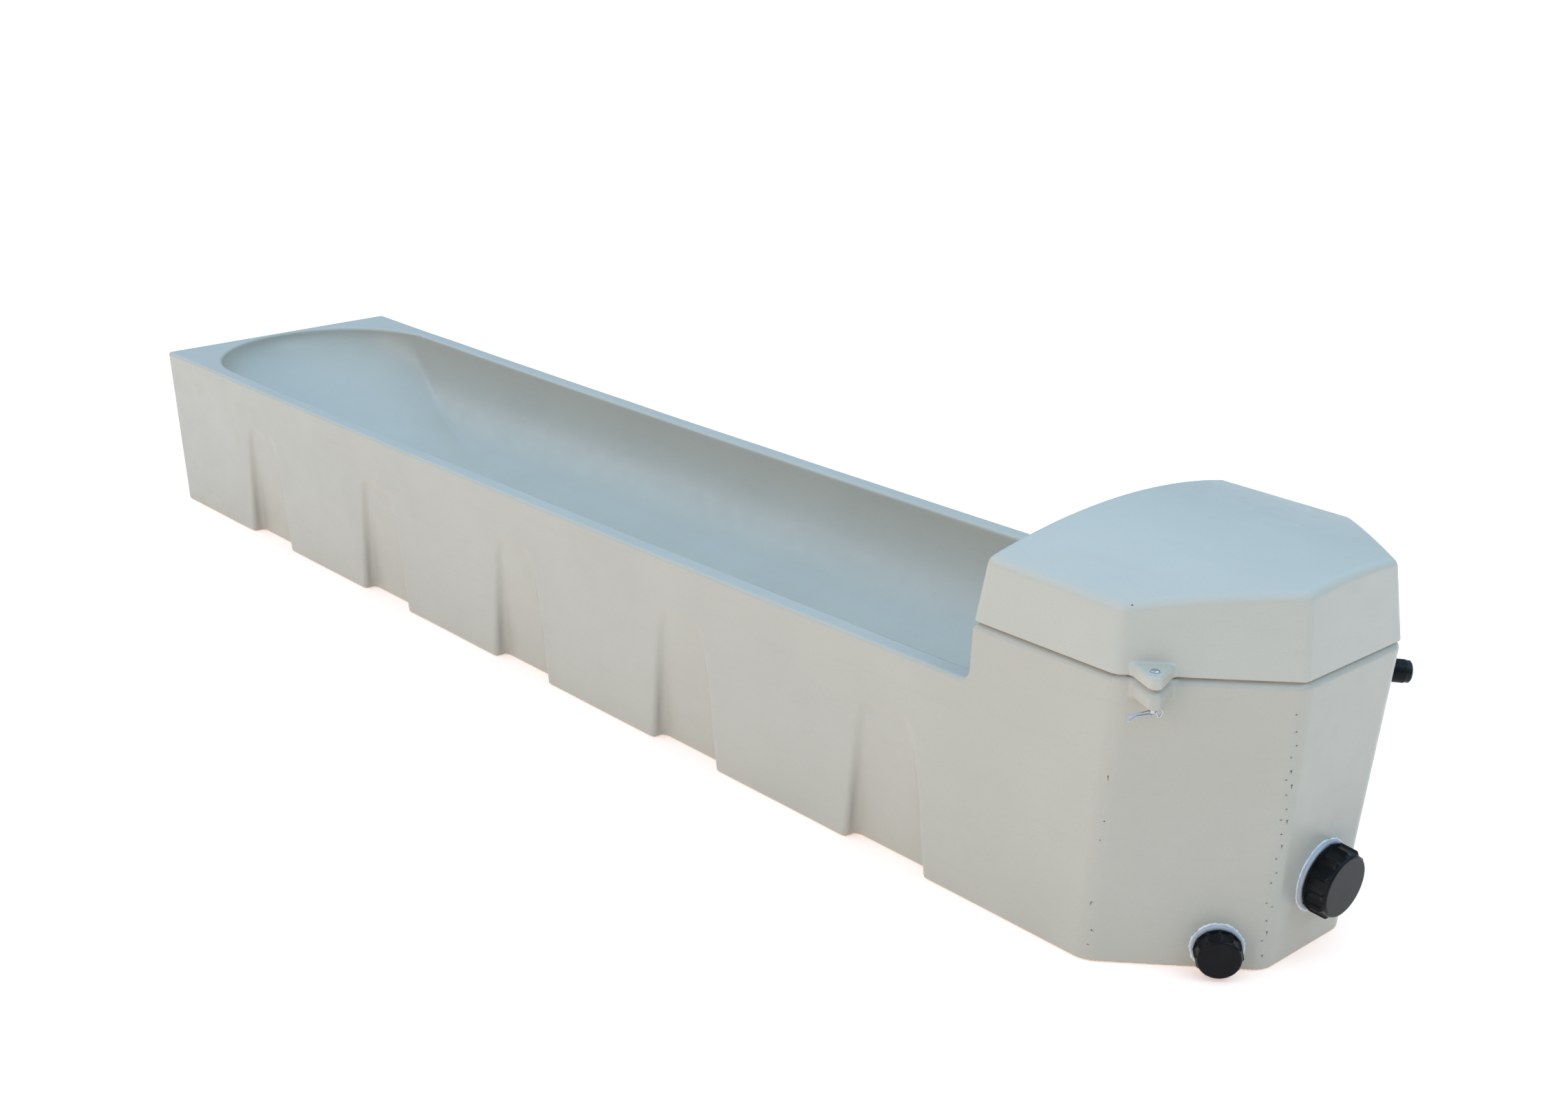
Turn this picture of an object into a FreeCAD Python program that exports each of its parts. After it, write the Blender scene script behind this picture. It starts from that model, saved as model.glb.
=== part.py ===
import FreeCAD, Part
import math
import os

import Sketcher

# Livestock drinking trough with a lidded float-valve box at one end.
# Millimetres, +Z up, +X towards the service box, +Y to the back.
# The origin is on the ground, under the middle of the trough body's length.

SIZES = {
    # moulded body, outside
    "rim_height": 368.5,
    "shoulder_height": 455.5,
    "far_low": -1517.5,
    "far_high": -1526.7,
    "far_half_low": 280.4,
    "far_half_high": 297.3,
    "corner_low": 1301.5,
    "corner_high": 1341.6,
    "corner_half_low": 266.5,
    "corner_half_high": 283.3,
    "end_low": 1488.3,
    "end_high": 1525.0,
    "end_half_low": 93.5,
    "end_half_high": 113.5,
    "chamfer_angle": 42.8,
    "skin": 7.0,
    "box_left": 1077.0,
    "notch_run": 8.0,
    "box_left_flare": 1.3,
    "partition_face": 1097.0,
    "sump_floor": 8.0,
    "bevel_rise": 10.5,
    "bevel_inset": 9.0,
    "upstand_inset": 10.0,
    "upstand_thick": 8.0,
    "upstand_top": 480.0,
    # drinking basin
    "basin_floor": 160.0,
    "basin_tip": -1512.0,
    "basin_half_far": 257.0,
    "basin_half_near": 245.5,
    "basin_near": 1050.0,
    "basin_floor_radius": 190.0,
    "basin_ramp": 970.0,
    "scoop_radius": 258.0,
    "flow_slot_width": 240.0,
    "flow_slot_height": 50.0,
    "flow_slot_sill": 165.0,
    # wall channels
    "channel_first": -1095.0,
    "channel_pitch": 497.0,
    "channel_top": 262.0,
    "channel_depth": 25.0,
    "channel_foot_left": 86.0,
    "channel_foot_right": 85.0,
    "channel_head_left": 47.0,
    "channel_head_right": 62.0,
    "wall_taper": 0.28,
    "wall_lean": 9.7,
    # lid
    "lid_bottom": 465.5,
    "lid_high": 580.0,
    "lid_left_low": 1077.0,
    "lid_left_high": 1091.0,
    "lid_corner_low": 1338.0,
    "lid_corner_high": 1330.0,
    "lid_half_low": 284.7,
    "lid_half_high": 271.0,
    "lid_end_low": 1524.0,
    "lid_end_high": 1511.0,
    "lid_end_half_low": 112.5,
    "lid_end_half_high": 103.5,
    "lid_skin": 6.0,
    "lid_top": 620.0,
    "lid_ledge_inset": 22.0,
    "lid_ledge_height": 8.0,
    "crown_height": 597.0,
    "crown_radius": 1191.0,
    "crown_fall": 0.8,
    # latch
    "latch_offset": 46.0,
    "lug_width": 56.0,
    "lug_depth": 46.0,
    "lug_tip_half": 7.0,
    "lug_root": 5.0,
    "lid_lug_height": 18.5,
    "body_lug_height": 20.5,
    "pin_offset": 24.0,
    "pin_radius": 4.0,
    "pin_hole_radius": 4.5,
    "pin_head_radius": 6.4,
    "pin_head_height": 3.0,
    "pin_length": 60.4,
    "pin_point": 1.0,
    "clip_level": 428.0,
    "clip_wire_radius": 1.3,
    "clip_hole_radius": 2.4,
    "clip_heading": -122.0,
    "clip_droop": 12.0,
    "clip_roll": 80.0,
    "clip_eye_radius": 7.0,
    "clip_back": 7.0,
    "clip_reach": 36.0,
    "clip_hump": 7.2,
    "clip_splay": 5.0,
    # inlet and float valve
    "inlet_along": 70.0,
    "inlet_height": 392.0,
    "inlet_radius": 16.6,
    "inlet_end_bevel": 2.0,
    "relief_width": 1.5,
    "relief_depth": 0.8,
    "inlet_reach": 44.0,
    "inlet_bore": 11.0,
    "inlet_hole_radius": 17.2,
    "washer_thick": 2.5,
    "inlet_washer_radius": 25.0,
    "lock_nut_radius": 25.0,
    "lock_nut_height": 9.0,
    "valve_flange_radius": 25.0,
    "valve_flange_height": 8.0,
    "valve_barrel_radius": 15.0,
    "valve_end": -78.0,
    "valve_bore": 9.6,
    "seat_back": -16.0,
    "seat_face": -30.0,
    "seat_step": -26.0,
    "seat_hole": 3.0,
    "seat_nose": 5.5,
    "piston_radius": 9.2,
    "piston_length": 30.0,
    "piston_stroke": 11.5,
    "seat_gap": 0.2,
    "piston_washer_radius": 7.5,
    "piston_washer_thick": 3.0,
    "pivot_drop": 22.0,
    "pivot_back": -56.0,
    "pivot_radius": 2.0,
    "pivot_clearance": 0.3,
    "pivot_half_length": 13.0,
    "pivot_head_radius": 3.4,
    "pivot_head_height": 1.6,
    "ear_inner": 4.3,
    "ear_outer": 8.5,
    "ear_reach": 7.0,
    "finger_radius": 3.0,
    "finger_neck": 1.6,
    "finger_play": 0.4,
    "piston_flare": 2.2,
    "lever_half_width": 3.6,
    "lever_hub_radius": 5.5,
    "lever_socket_radius": 5.0,
    "lever_socket_length": 62.0,
    "lever_socket_depth": 18.0,
    "lever_throw": 15.0,
    "arm_droop_closed": 10.0,
    "arm_travel": 30.0,
    "rod_radius": 3.0,
    "rod_end": 268.0,
    "ball_centre": 250.0,
    "ball_radius": 57.0,
    "ball_skin": 1.6,
    "ball_boss_radius": 9.0,
    "rod_nut_radius": 6.2,
    "rod_nut_height": 4.5,
    # threaded outlets: big one on the end face, small one on the front chamfer
    "main_height": 125.0,
    "main_side": 8.0,
    "main_thread": 43.9,
    "main_root": 42.7,
    "main_bore": 37.0,
    "main_flange": 55.0,
    "main_gasket": 56.5,
    "main_neck_end": 37.0,
    "main_cap_radius": 51.5,
    "main_rib_radius": 54.0,
    "main_cap_top": 44.0,
    "main_nut": 57.0,
    "drain_height": 39.5,
    "drain_along": 184.0,
    "drain_thread": 29.8,
    "drain_root": 28.6,
    "drain_bore": 24.5,
    "drain_flange": 36.5,
    "drain_gasket": 37.5,
    "drain_neck_end": 30.0,
    "drain_cap_radius": 33.2,
    "drain_rib_radius": 35.0,
    "drain_cap_top": 36.0,
    "drain_nut": 37.0,
    "wall_standoff": 0.05,
    "outlet_gasket_thick": 2.0,
    "outlet_flange_thick": 5.0,
    "outlet_barrel_back": -26.0,
    "outlet_barrel_shy": 1.2,
    "outlet_hole_play": 0.6,
    "outlet_nut_height": 12.0,
    "cap_gap": 1.5,
    "cap_clearance": 0.6,
    "cap_seal_thick": 2.0,
    "cap_rib_half": 4.0,
    "outlet_pitch": 2.309,
    "thread_play": 0.1,
}
CHANNELS = 5
FLOOR_STEPS = (0.0, 0.05, 0.16, 0.34, 0.6, 1.0)
CAP_RIBS = 12
NECK_RINGS = 6
CLIP_EYE_STEPS = 8
CLIP_HUMP_STEPS = 4

doc = FreeCAD.newDocument("drinking_trough")
sheet = doc.addObject("Spreadsheet::Sheet", "Size")
for row, (alias, value) in enumerate(SIZES.items(), start=1):
    sheet.set(f"A{row}", alias)
    sheet.set(f"B{row}", str(value))
    sheet.setAlias(f"B{row}", alias)
doc.recompute()


def size(alias):
    """A driving dimension, read from the sheet."""
    return float(sheet.get(alias))


def mix(low, high, level, low_level, high_level):
    """Expression for a size that runs evenly between two levels."""
    share = f"({level} - ({low_level})) / ({high_level} - ({low_level}))"
    return f"(Size.{low} + (Size.{high} - Size.{low}) * {share})"


def new_body(name):
    body = doc.addObject("PartDesign::Body", name)
    body.Label = name
    return body


def origin_plane(body, role):
    return [item for item in body.Origin.OriginFeatures if item.Role == role][0]


def new_sketch(body, name, role, level=None):
    sketch = body.newObject("Sketcher::SketchObject", name)
    sketch.AttachmentSupport = (origin_plane(body, role), [""])
    sketch.MapMode = "FlatFace"
    if level is not None:
        sketch.setExpression("AttachmentOffset.Base.z", level)
    return sketch


def pin_point(sketch, geometry, end, place):
    """Holds one point of a sketch at two bound distances from its origin."""
    now = sketch.getPoint(geometry, end)
    for kind, value, start in zip(("DistanceX", "DistanceY"), place, (now.x, now.y)):
        row = sketch.addConstraint(Sketcher.Constraint(kind, -1, 1, geometry, end, start))
        sketch.setExpression(f"Constraints[{row}]", value)


def outline(body, name, role, corners, level=None):
    """A closed outline of straight lines through bound corners."""
    sketch = new_sketch(body, name, role, level)
    count = len(corners)
    ring = []
    for number in range(count):
        turn = 2 * math.pi * number / count
        ring.append(FreeCAD.Vector(50 + 9 * math.cos(turn), 50 + 9 * math.sin(turn), 0))
    for number in range(count):
        sketch.addGeometry(Part.LineSegment(ring[number], ring[(number + 1) % count]))
    for number in range(count):
        joint = Sketcher.Constraint("Coincident", number, 2, (number + 1) % count, 1)
        sketch.addConstraint(joint)
    for number, place in enumerate(corners):
        pin_point(sketch, number, 1, place)
    return sketch


def loft(name, sections):
    """A solid with flat sides between outlines; each section is (level, corners)."""
    body = new_body(name)
    sketches = []
    for number, (level, corners) in enumerate(sections):
        sketches.append(outline(body, f"{name}_{number}", "XY_Plane", corners, level))
    solid = body.newObject("PartDesign::AdditiveLoft", f"{name}_loft")
    solid.Profile = sketches[0]
    solid.Sections = sketches[1:]
    solid.Ruled = True
    return body


def turned(name, profile):
    """A solid turned about Z from (radius, height) corners."""
    body = new_body(name)
    sketch = outline(body, f"{name}_profile", "XZ_Plane", profile)
    solid = body.newObject("PartDesign::Revolution", f"{name}_turn")
    solid.Profile = sketch
    solid.ReferenceAxis = (sketch, ["V_Axis"])
    solid.Angle = 360
    return body


def bind(item, **sizes):
    for key, value in sizes.items():
        item.setExpression(key, value)


def move(item, x=None, y=None, z=None):
    """Binds the distances of an object's place that are given."""
    for axis, value in zip("xyz", (x, y, z)):
        if value is not None:
            item.setExpression(f".Placement.Base.{axis}", value)


def turn(item, axis, degrees):
    spot = item.Placement.Base
    item.Placement = FreeCAD.Placement(spot, FreeCAD.Rotation(FreeCAD.Vector(*axis), degrees))


def cylinder(name, radius, height, x=None, y=None, z=None, axis=(1, 0, 0), degrees=0):
    item = doc.addObject("Part::Cylinder", name)
    bind(item, Radius=radius, Height=height)
    turn(item, axis, degrees)
    move(item, x, y, z)
    return item


def block(name, low, high):
    """A box between two bound corners."""
    item = doc.addObject("Part::Box", name)
    spans = [f"({top}) - ({bottom})" for bottom, top in zip(low, high)]
    bind(item, Length=spans[0], Width=spans[1], Height=spans[2])
    move(item, *low)
    return item


def prism(name, radius, height, z="0"):
    item = doc.addObject("Part::Prism", name)
    item.Polygon = 6
    bind(item, Circumradius=radius, Height=height)
    move(item, z=z)
    return item


def cut(name, base, tool):
    item = doc.addObject("Part::Cut", name)
    item.Base = base
    item.Tool = tool
    return item


def join(name, shapes):
    item = doc.addObject("Part::MultiFuse", name)
    item.Shapes = shapes
    return item


def overlap(name, shapes):
    item = doc.addObject("Part::MultiCommon", name)
    item.Shapes = shapes
    return item


def mirrored(name, source):
    """A copy on the other side of the trough's middle plane."""
    item = doc.addObject("Part::Mirroring", name)
    item.Source = source
    item.Normal = FreeCAD.Vector(0, 1, 0)
    return item


def label(item, name):
    item.Label = name
    NODES.append(item)
    return item


NODES = []
HALF_TURN = math.tan(math.radians(size("chamfer_angle") / 2))
END_TURN = math.tan(math.radians((90 - size("chamfer_angle")) / 2))


def both_sides(front):
    """Closes a list of front corners with their mirror images at the back."""
    back = [(x, f"-({y})") for x, y in reversed(front)]
    return front + back


# --- outlines -----------------------------------------------------------------

def hull_corners(level, inset="0"):
    """Outside of the whole moulded body at a level, drawn in by inset."""
    span = (level, "0", "Size.shoulder_height")
    far = mix("far_low", "far_high", *span)
    far_half = mix("far_half_low", "far_half_high", *span)
    front = [(f"{far} + {inset}", f"-({far_half} - {inset})")]
    return both_sides(front + nose_corners(level, inset))


def nose_corners(level, inset):
    """The two front corners of the chamfer at the service box."""
    span = (level, "0", "Size.shoulder_height")
    corner = mix("corner_low", "corner_high", *span)
    corner_half = mix("corner_half_low", "corner_half_high", *span)
    end = mix("end_low", "end_high", *span)
    end_half = mix("end_half_low", "end_half_high", *span)
    first = (f"{corner} - {inset} * {HALF_TURN:.5f}", f"-({corner_half} - {inset})")
    second = (f"{end} - {inset}", f"-({end_half} - {inset} * {END_TURN:.5f})")
    return [first, second]


def box_corners(level, inset, left):
    """Outside of the service box alone, drawn in by inset, from x = left."""
    span = (level, "0", "Size.shoulder_height")
    half = mix("corner_half_low", "corner_half_high", *span)
    start = (left, f"-({half} + Size.box_left_flare - {inset})")
    return both_sides([start] + nose_corners(level, inset))


def lid_corners(level, inset="0"):
    span = (level, "Size.lid_bottom", "Size.lid_high")
    left = mix("lid_left_low", "lid_left_high", *span)
    half = mix("lid_half_low", "lid_half_high", *span)
    corner = mix("lid_corner_low", "lid_corner_high", *span)
    end = mix("lid_end_low", "lid_end_high", *span)
    end_half = mix("lid_end_half_low", "lid_end_half_high", *span)
    front = [
        (f"{left} + {inset}", f"-({half} - {inset})"),
        (f"{corner} - {inset} * {HALF_TURN:.5f}", f"-({half} - {inset})"),
        (f"{end} - {inset}", f"-({end_half} - {inset} * {END_TURN:.5f})"),
    ]
    return both_sides(front)


# --- drinking basin -----------------------------------------------------------

def basin_section(body, name, level, draw_in, grow):
    """Basin outline: a round far end meeting straight sides, square near end."""
    far_half = f"(Size.basin_half_far - {draw_in} + {grow})"
    near_half = f"(Size.basin_half_near - {draw_in} + {grow})"
    near = f"(Size.basin_near - {draw_in} + {grow})"
    depth = f"((Size.rim_height - {level}) / (Size.rim_height - Size.basin_floor))"
    tip = f"(Size.basin_tip + Size.basin_ramp * (1 - sqrt(abs(1 - {depth} ^ 2))) - {grow})"
    radius = f"(Size.scoop_radius + {grow})"
    corner = f"({tip} + {radius} - sqrt({radius} ^ 2 - {far_half} ^ 2))"
    sketch = new_sketch(body, name, "XY_Plane", level)
    round_end = Part.Circle(FreeCAD.Vector(-1254, 0, 0), FreeCAD.Vector(0, 0, 1), 258)
    sketch.addGeometry(Part.ArcOfCircle(round_end, math.radians(110), math.radians(250)))
    start = FreeCAD.Vector(-1290, -249, 0)
    stop = FreeCAD.Vector(-1290, 249, 0)
    near_back = FreeCAD.Vector(1000, 240, 0)
    near_front = FreeCAD.Vector(1000, -240, 0)
    sketch.addGeometry(Part.LineSegment(stop, near_back))
    sketch.addGeometry(Part.LineSegment(near_back, near_front))
    sketch.addGeometry(Part.LineSegment(near_front, start))
    for first, end, second in ((0, 1, 1), (1, 2, 2), (2, 2, 3)):
        sketch.addConstraint(Sketcher.Constraint("Coincident", first, end, second, 1))
    sketch.addConstraint(Sketcher.Constraint("Coincident", 3, 2, 0, 2))
    pin_point(sketch, 1, 1, (corner, far_half))
    pin_point(sketch, 2, 1, (near, near_half))
    pin_point(sketch, 2, 2, (near, f"-{near_half}"))
    pin_point(sketch, 3, 2, (corner, f"-{far_half}"))
    row = sketch.addConstraint(Sketcher.Constraint("Radius", 0, 258.0))
    sketch.setExpression(f"Constraints[{row}]", radius)
    return sketch


def basin_form(name, grow):
    """The basin as a cutter: upright walls rounding down to a narrow floor, ramped far end."""
    body = new_body(name)
    sketches = []
    for number, share in enumerate(FLOOR_STEPS):
        level = f"(Size.basin_floor + Size.basin_floor_radius * {share})"
        draw_in = f"Size.basin_floor_radius * {1 - math.cos(math.asin(1 - share)):.4f}"
        section = basin_section(body, f"{name}_{number}", level, draw_in, grow)
        section.setExpression("AttachmentOffset.Base.z", f"{level} - {grow}")
        sketches.append(section)
    rim = basin_section(body, f"{name}_rim", "Size.rim_height", "0", grow)
    mouth = basin_section(body, f"{name}_mouth", "Size.rim_height", "0", grow)
    mouth.setExpression("AttachmentOffset.Base.z", "Size.rim_height + 12")
    solid = body.newObject("PartDesign::AdditiveLoft", f"{name}_loft")
    solid.Profile = sketches[0]
    solid.Sections = sketches[1:] + [rim, mouth]
    solid.Ruled = True
    return body


# --- wall channels ------------------------------------------------------------

def channel_cutters(name, grow):
    """Five wedges per side, deepest at the ground and fading out upwards."""
    wedges = []
    for number in range(CHANNELS):
        wedge = doc.addObject("Part::Wedge", f"{name}_{number}")
        place = f"(Size.channel_first + {number} * Size.channel_pitch)"
        share = f"({place} - Size.far_low) / (Size.corner_low - Size.far_low)"
        half = f"(Size.far_half_low + (Size.corner_half_low - Size.far_half_low) * {share})"
        bind(
            wedge,
            Xmin=f"-Size.channel_foot_left - {grow}",
            Xmax=f"Size.channel_foot_right + {grow}",
            X2min=f"-Size.channel_head_left - {grow}",
            X2max=f"Size.channel_head_right + {grow}",
            Ymin="-1",
            Ymax=f"Size.channel_top + {grow}",
            Zmin=f"-Size.channel_depth - {grow}",
            Zmax="30",
            Z2min=f"Size.wall_lean - {grow}",
            Z2max="40",
        )
        lift = FreeCAD.Rotation(FreeCAD.Vector(1, 0, 0), 90)
        swing = FreeCAD.Rotation(FreeCAD.Vector(0, 0, 1), size("wall_taper"))
        wedge.Placement = FreeCAD.Placement(FreeCAD.Vector(), swing.multiply(lift))
        move(wedge, x=place, y=f"-{half}")
        wedges.append(wedge)
    front = join(f"{name}_front", wedges)
    return join(name, [front, mirrored(f"{name}_back", front)])


# --- places on the walls --------------------------------------------------------

def point_on(low, high, height):
    share = height / size("shoulder_height")
    return low + (high - low) * share


def chamfer_frame(along, height, side, from_end=False):
    """A place on a chamfer face: Z points out of the wall, X runs level along it.

    along is measured on the face from its outer corner, or from the end face.
    """
    corners = []
    for level in ("low", "high"):
        z = 0 if level == "low" else size("shoulder_height")
        first = FreeCAD.Vector(size(f"corner_{level}"), side * size(f"corner_half_{level}"), z)
        last = FreeCAD.Vector(size(f"end_{level}"), side * size(f"end_half_{level}"), z)
        corners.append((first, last))
    first = point_on(corners[0][0], corners[1][0], height)
    last = point_on(corners[0][1], corners[1][1], height)
    level_way = (last - first).normalize()
    upward = corners[1][0] - corners[0][0]
    outward = level_way.cross(upward) if side < 0 else upward.cross(level_way)
    outward.normalize()
    spot = last - level_way * along if from_end else first + level_way * along
    return frame_at(spot, outward)


def frame_at(spot, outward):
    across = FreeCAD.Vector(0, 0, 1).cross(outward).normalize()
    rising = outward.cross(across)
    rotation = FreeCAD.Rotation(across, rising, outward, "ZXY")
    return FreeCAD.Placement(spot, rotation)


def end_frame(height, side):
    """A place on the end face, side millimetres to the back of its middle."""
    rise = size("shoulder_height")
    run = size("end_high") - size("end_low")
    outward = FreeCAD.Vector(rise, 0, -run).normalize()
    x = point_on(size("end_low"), size("end_high"), height)
    return frame_at(FreeCAD.Vector(x, side, height), outward)


MAIN_FRAME = end_frame(size("main_height"), size("main_side"))
DRAIN_FRAME = chamfer_frame(size("drain_along"), size("drain_height"), -1)
INLET_FRAME = chamfer_frame(size("inlet_along"), size("inlet_height"), 1, from_end=True)
LATCH_FRAMES = {}
for latch_name, latch_side in (("front", -1), ("back", 1)):
    spot = chamfer_frame(size("latch_offset"), size("shoulder_height"), latch_side)
    heading = math.degrees(math.atan2(latch_side * math.cos(math.radians(size("chamfer_angle"))),
                                      math.sin(math.radians(size("chamfer_angle")))))
    flat = FreeCAD.Rotation(FreeCAD.Vector(0, 0, 1), heading)
    LATCH_FRAMES[latch_name] = FreeCAD.Placement(FreeCAD.Vector(spot.Base.x, spot.Base.y, 0), flat)


def lug(name, place, low, high):
    """Three-sided lug with a blunt tip; local X points out of the wall."""
    body = new_body(name)
    corners = [
        ("-Size.lug_root", "-Size.lug_width / 2"),
        ("0", "-Size.lug_width / 2"),
        ("Size.lug_depth", "-Size.lug_tip_half"),
        ("Size.lug_depth", "Size.lug_tip_half"),
        ("0", "Size.lug_width / 2"),
        ("-Size.lug_root", "Size.lug_width / 2"),
    ]
    sketch = outline(body, f"{name}_outline", "XY_Plane", corners, low)
    pad = body.newObject("PartDesign::Pad", f"{name}_pad")
    pad.Profile = sketch
    pad.setExpression("Length", f"{high} - ({low})")
    body.Placement = place
    return body


# --- trough body ----------------------------------------------------------------

hull = loft("hull", [
    ("0", hull_corners("0")),
    ("Size.shoulder_height", hull_corners("Size.shoulder_height")),
])
notch_body = new_body("notch")
notch_sketch = outline(notch_body, "notch_outline", "XZ_Plane", [
    ("Size.far_high - 60", "Size.rim_height"),
    ("Size.box_left - Size.notch_run", "Size.rim_height"),
    ("Size.box_left", "Size.shoulder_height"),
    ("Size.box_left", "Size.shoulder_height + 60"),
    ("Size.far_high - 60", "Size.shoulder_height + 60"),
])
notch_pad = notch_body.newObject("PartDesign::Pad", "notch_pad")
notch_pad.Profile = notch_sketch
notch_pad.SideType = "Symmetric"
notch_pad.setExpression("Length", "Size.far_half_high * 2 + 100")

bevel_top = "Size.shoulder_height + Size.bevel_rise"
shoulder = loft("shoulder", [
    ("Size.shoulder_height", box_corners("Size.shoulder_height", "0", "Size.box_left")),
    (bevel_top, box_corners("Size.shoulder_height", "Size.bevel_inset",
                            "Size.box_left + Size.bevel_inset")),
])
upstand = loft("upstand", [
    ("Size.shoulder_height", box_corners("Size.shoulder_height", "Size.upstand_inset",
                                         "Size.box_left + Size.upstand_inset")),
    ("Size.upstand_top", box_corners("Size.shoulder_height", "Size.upstand_inset",
                                     "Size.box_left + Size.upstand_inset")),
])
throat_inset = "(Size.upstand_inset + Size.upstand_thick)"
throat_low = "(Size.shoulder_height - 14)"
throat_corners = box_corners("Size.shoulder_height", throat_inset, f"Size.box_left + {throat_inset}")
throat = loft("throat", [(throat_low, throat_corners), ("Size.upstand_top + 5", throat_corners)])
sump = loft("sump", [
    ("Size.sump_floor", box_corners("Size.sump_floor", "Size.skin", "Size.partition_face")),
    (throat_low, box_corners(throat_low, "Size.skin", "Size.partition_face")),
])
basin = basin_form("basin", "0")
basin_skin = basin_form("basin_skin", "Size.skin")
channels = channel_cutters("channel", "0")
channel_skin = channel_cutters("channel_skin", "Size.skin")

hollow_hull = loft("hollow_hull", [
    ("Size.skin", hull_corners("Size.skin", "Size.skin")),
    ("Size.rim_height - Size.skin", hull_corners("Size.rim_height - Size.skin", "Size.skin")),
])
hollow_limit = block("hollow_limit", ("Size.far_high - 60", "-Size.far_half_high - 60", "0"),
                     ("Size.partition_face - Size.skin", "Size.far_half_high + 60",
                      "Size.rim_height"))


def slot_block(name, grow):
    """The way from the basin to the valve chamber, or its sleeve through the air space."""
    half = f"(Size.flow_slot_width / 2 + {grow})"
    return block(name,
                 ("Size.basin_near - Size.basin_floor_radius", f"-{half}",
                  f"Size.flow_slot_sill - {grow}"),
                 ("Size.partition_face + 10", half,
                  f"Size.flow_slot_sill + Size.flow_slot_height + {grow}"))


flow_slot = slot_block("flow_slot", "0")
solid_parts = join("solid_parts", [basin_skin, channel_skin, slot_block("slot_skin", "Size.skin")])
hollow = cut("hollow", overlap("hollow_block", [hollow_hull, hollow_limit]), solid_parts)

body_lugs = []
lid_lugs = []
pin_bores = []
for latch_name, place in LATCH_FRAMES.items():
    body_lugs.append(lug(f"{latch_name}_body_lug", place,
                         "Size.shoulder_height - Size.body_lug_height", "Size.shoulder_height"))
    lid_lugs.append(lug(f"{latch_name}_lid_lug", place,
                        "Size.lid_bottom", "Size.lid_bottom + Size.lid_lug_height"))
    drill = doc.addObject("Part::Cylinder", f"{latch_name}_pin_bore")
    bind(drill, Radius="Size.pin_hole_radius", Height="Size.shoulder_height / 4")
    centre = place.multVec(FreeCAD.Vector(size("pin_offset"), 0, size("shoulder_height") - 40))
    drill.Placement = FreeCAD.Placement(centre, FreeCAD.Rotation())
    pin_bores.append(drill)

wall_bores = []
for name, place, radius in (("main", MAIN_FRAME, "Size.main_thread + Size.outlet_hole_play"),
                            ("drain", DRAIN_FRAME, "Size.drain_thread + Size.outlet_hole_play"),
                            ("inlet", INLET_FRAME, "Size.inlet_hole_radius")):
    drill = doc.addObject("Part::Cylinder", f"{name}_wall_bore")
    bind(drill, Radius=radius, Height="Size.skin * 4")
    back = place.multVec(FreeCAD.Vector(0, 0, -2 * size("skin")))
    drill.Placement = FreeCAD.Placement(back, place.Rotation)
    wall_bores.append(drill)

outer = join("outer", [cut("hull_notched", hull, notch_body), shoulder, upstand] + body_lugs)
voids = join("voids", [basin, sump, throat, flow_slot, channels])
shell = cut("shell", cut("shell_open", outer, voids), hollow)
label(cut("trough", shell, join("body_bores", wall_bores + pin_bores)), "trough_body")

# --- lid ------------------------------------------------------------------------

def crown(name, radius):
    """A long cylinder whose top is the arched crown, falling towards the end."""
    item = doc.addObject("Part::Cylinder", name)
    bind(item, Radius=radius, Height="Size.end_high - Size.box_left + 200")
    fall = FreeCAD.Rotation(FreeCAD.Vector(0, 1, 0), 90 + size("crown_fall"))
    lift = size("crown_height") - size("crown_radius")
    item.Placement = FreeCAD.Placement(FreeCAD.Vector(size("lid_left_high") - 80, 0, lift + 1), fall)
    return item


ledge_low = "Size.upstand_top"
ledge_high = "Size.upstand_top + Size.lid_ledge_height"
lid_block = loft("lid_block", [("Size.lid_bottom", lid_corners("Size.lid_bottom")),
                               ("Size.lid_top", lid_corners("Size.lid_top"))])
lid_outside = overlap("lid_outside", [lid_block, crown("crown_outside", "Size.crown_radius")])
skirt_room = loft("skirt_room", [
    ("Size.lid_bottom - 5", lid_corners("Size.lid_bottom - 5", "Size.lid_skin")),
    (ledge_low, lid_corners(ledge_low, "Size.lid_skin")),
])
ledge_room = loft("ledge_room", [
    ("Size.lid_bottom", lid_corners(ledge_low, "Size.lid_ledge_inset")),
    (f"{ledge_high} + 5", lid_corners(ledge_low, "Size.lid_ledge_inset")),
])
dome_block = loft("dome_block", [
    (ledge_high, lid_corners(ledge_high, "Size.lid_skin")),
    ("Size.lid_top", lid_corners("Size.lid_top", "Size.lid_skin")),
])
dome_room = overlap("dome_room", [dome_block,
                                  crown("crown_inside", "Size.crown_radius - Size.lid_skin")])
lid_hollow = join("lid_hollow", [skirt_room, ledge_room, dome_room] + pin_bores)
label(cut("lid_shell", join("lid_solid", [lid_outside] + lid_lugs), lid_hollow), "service_lid")

# --- latch pins and spring clips --------------------------------------------------

pin_seat = "(Size.lid_bottom + Size.lid_lug_height)"


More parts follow.
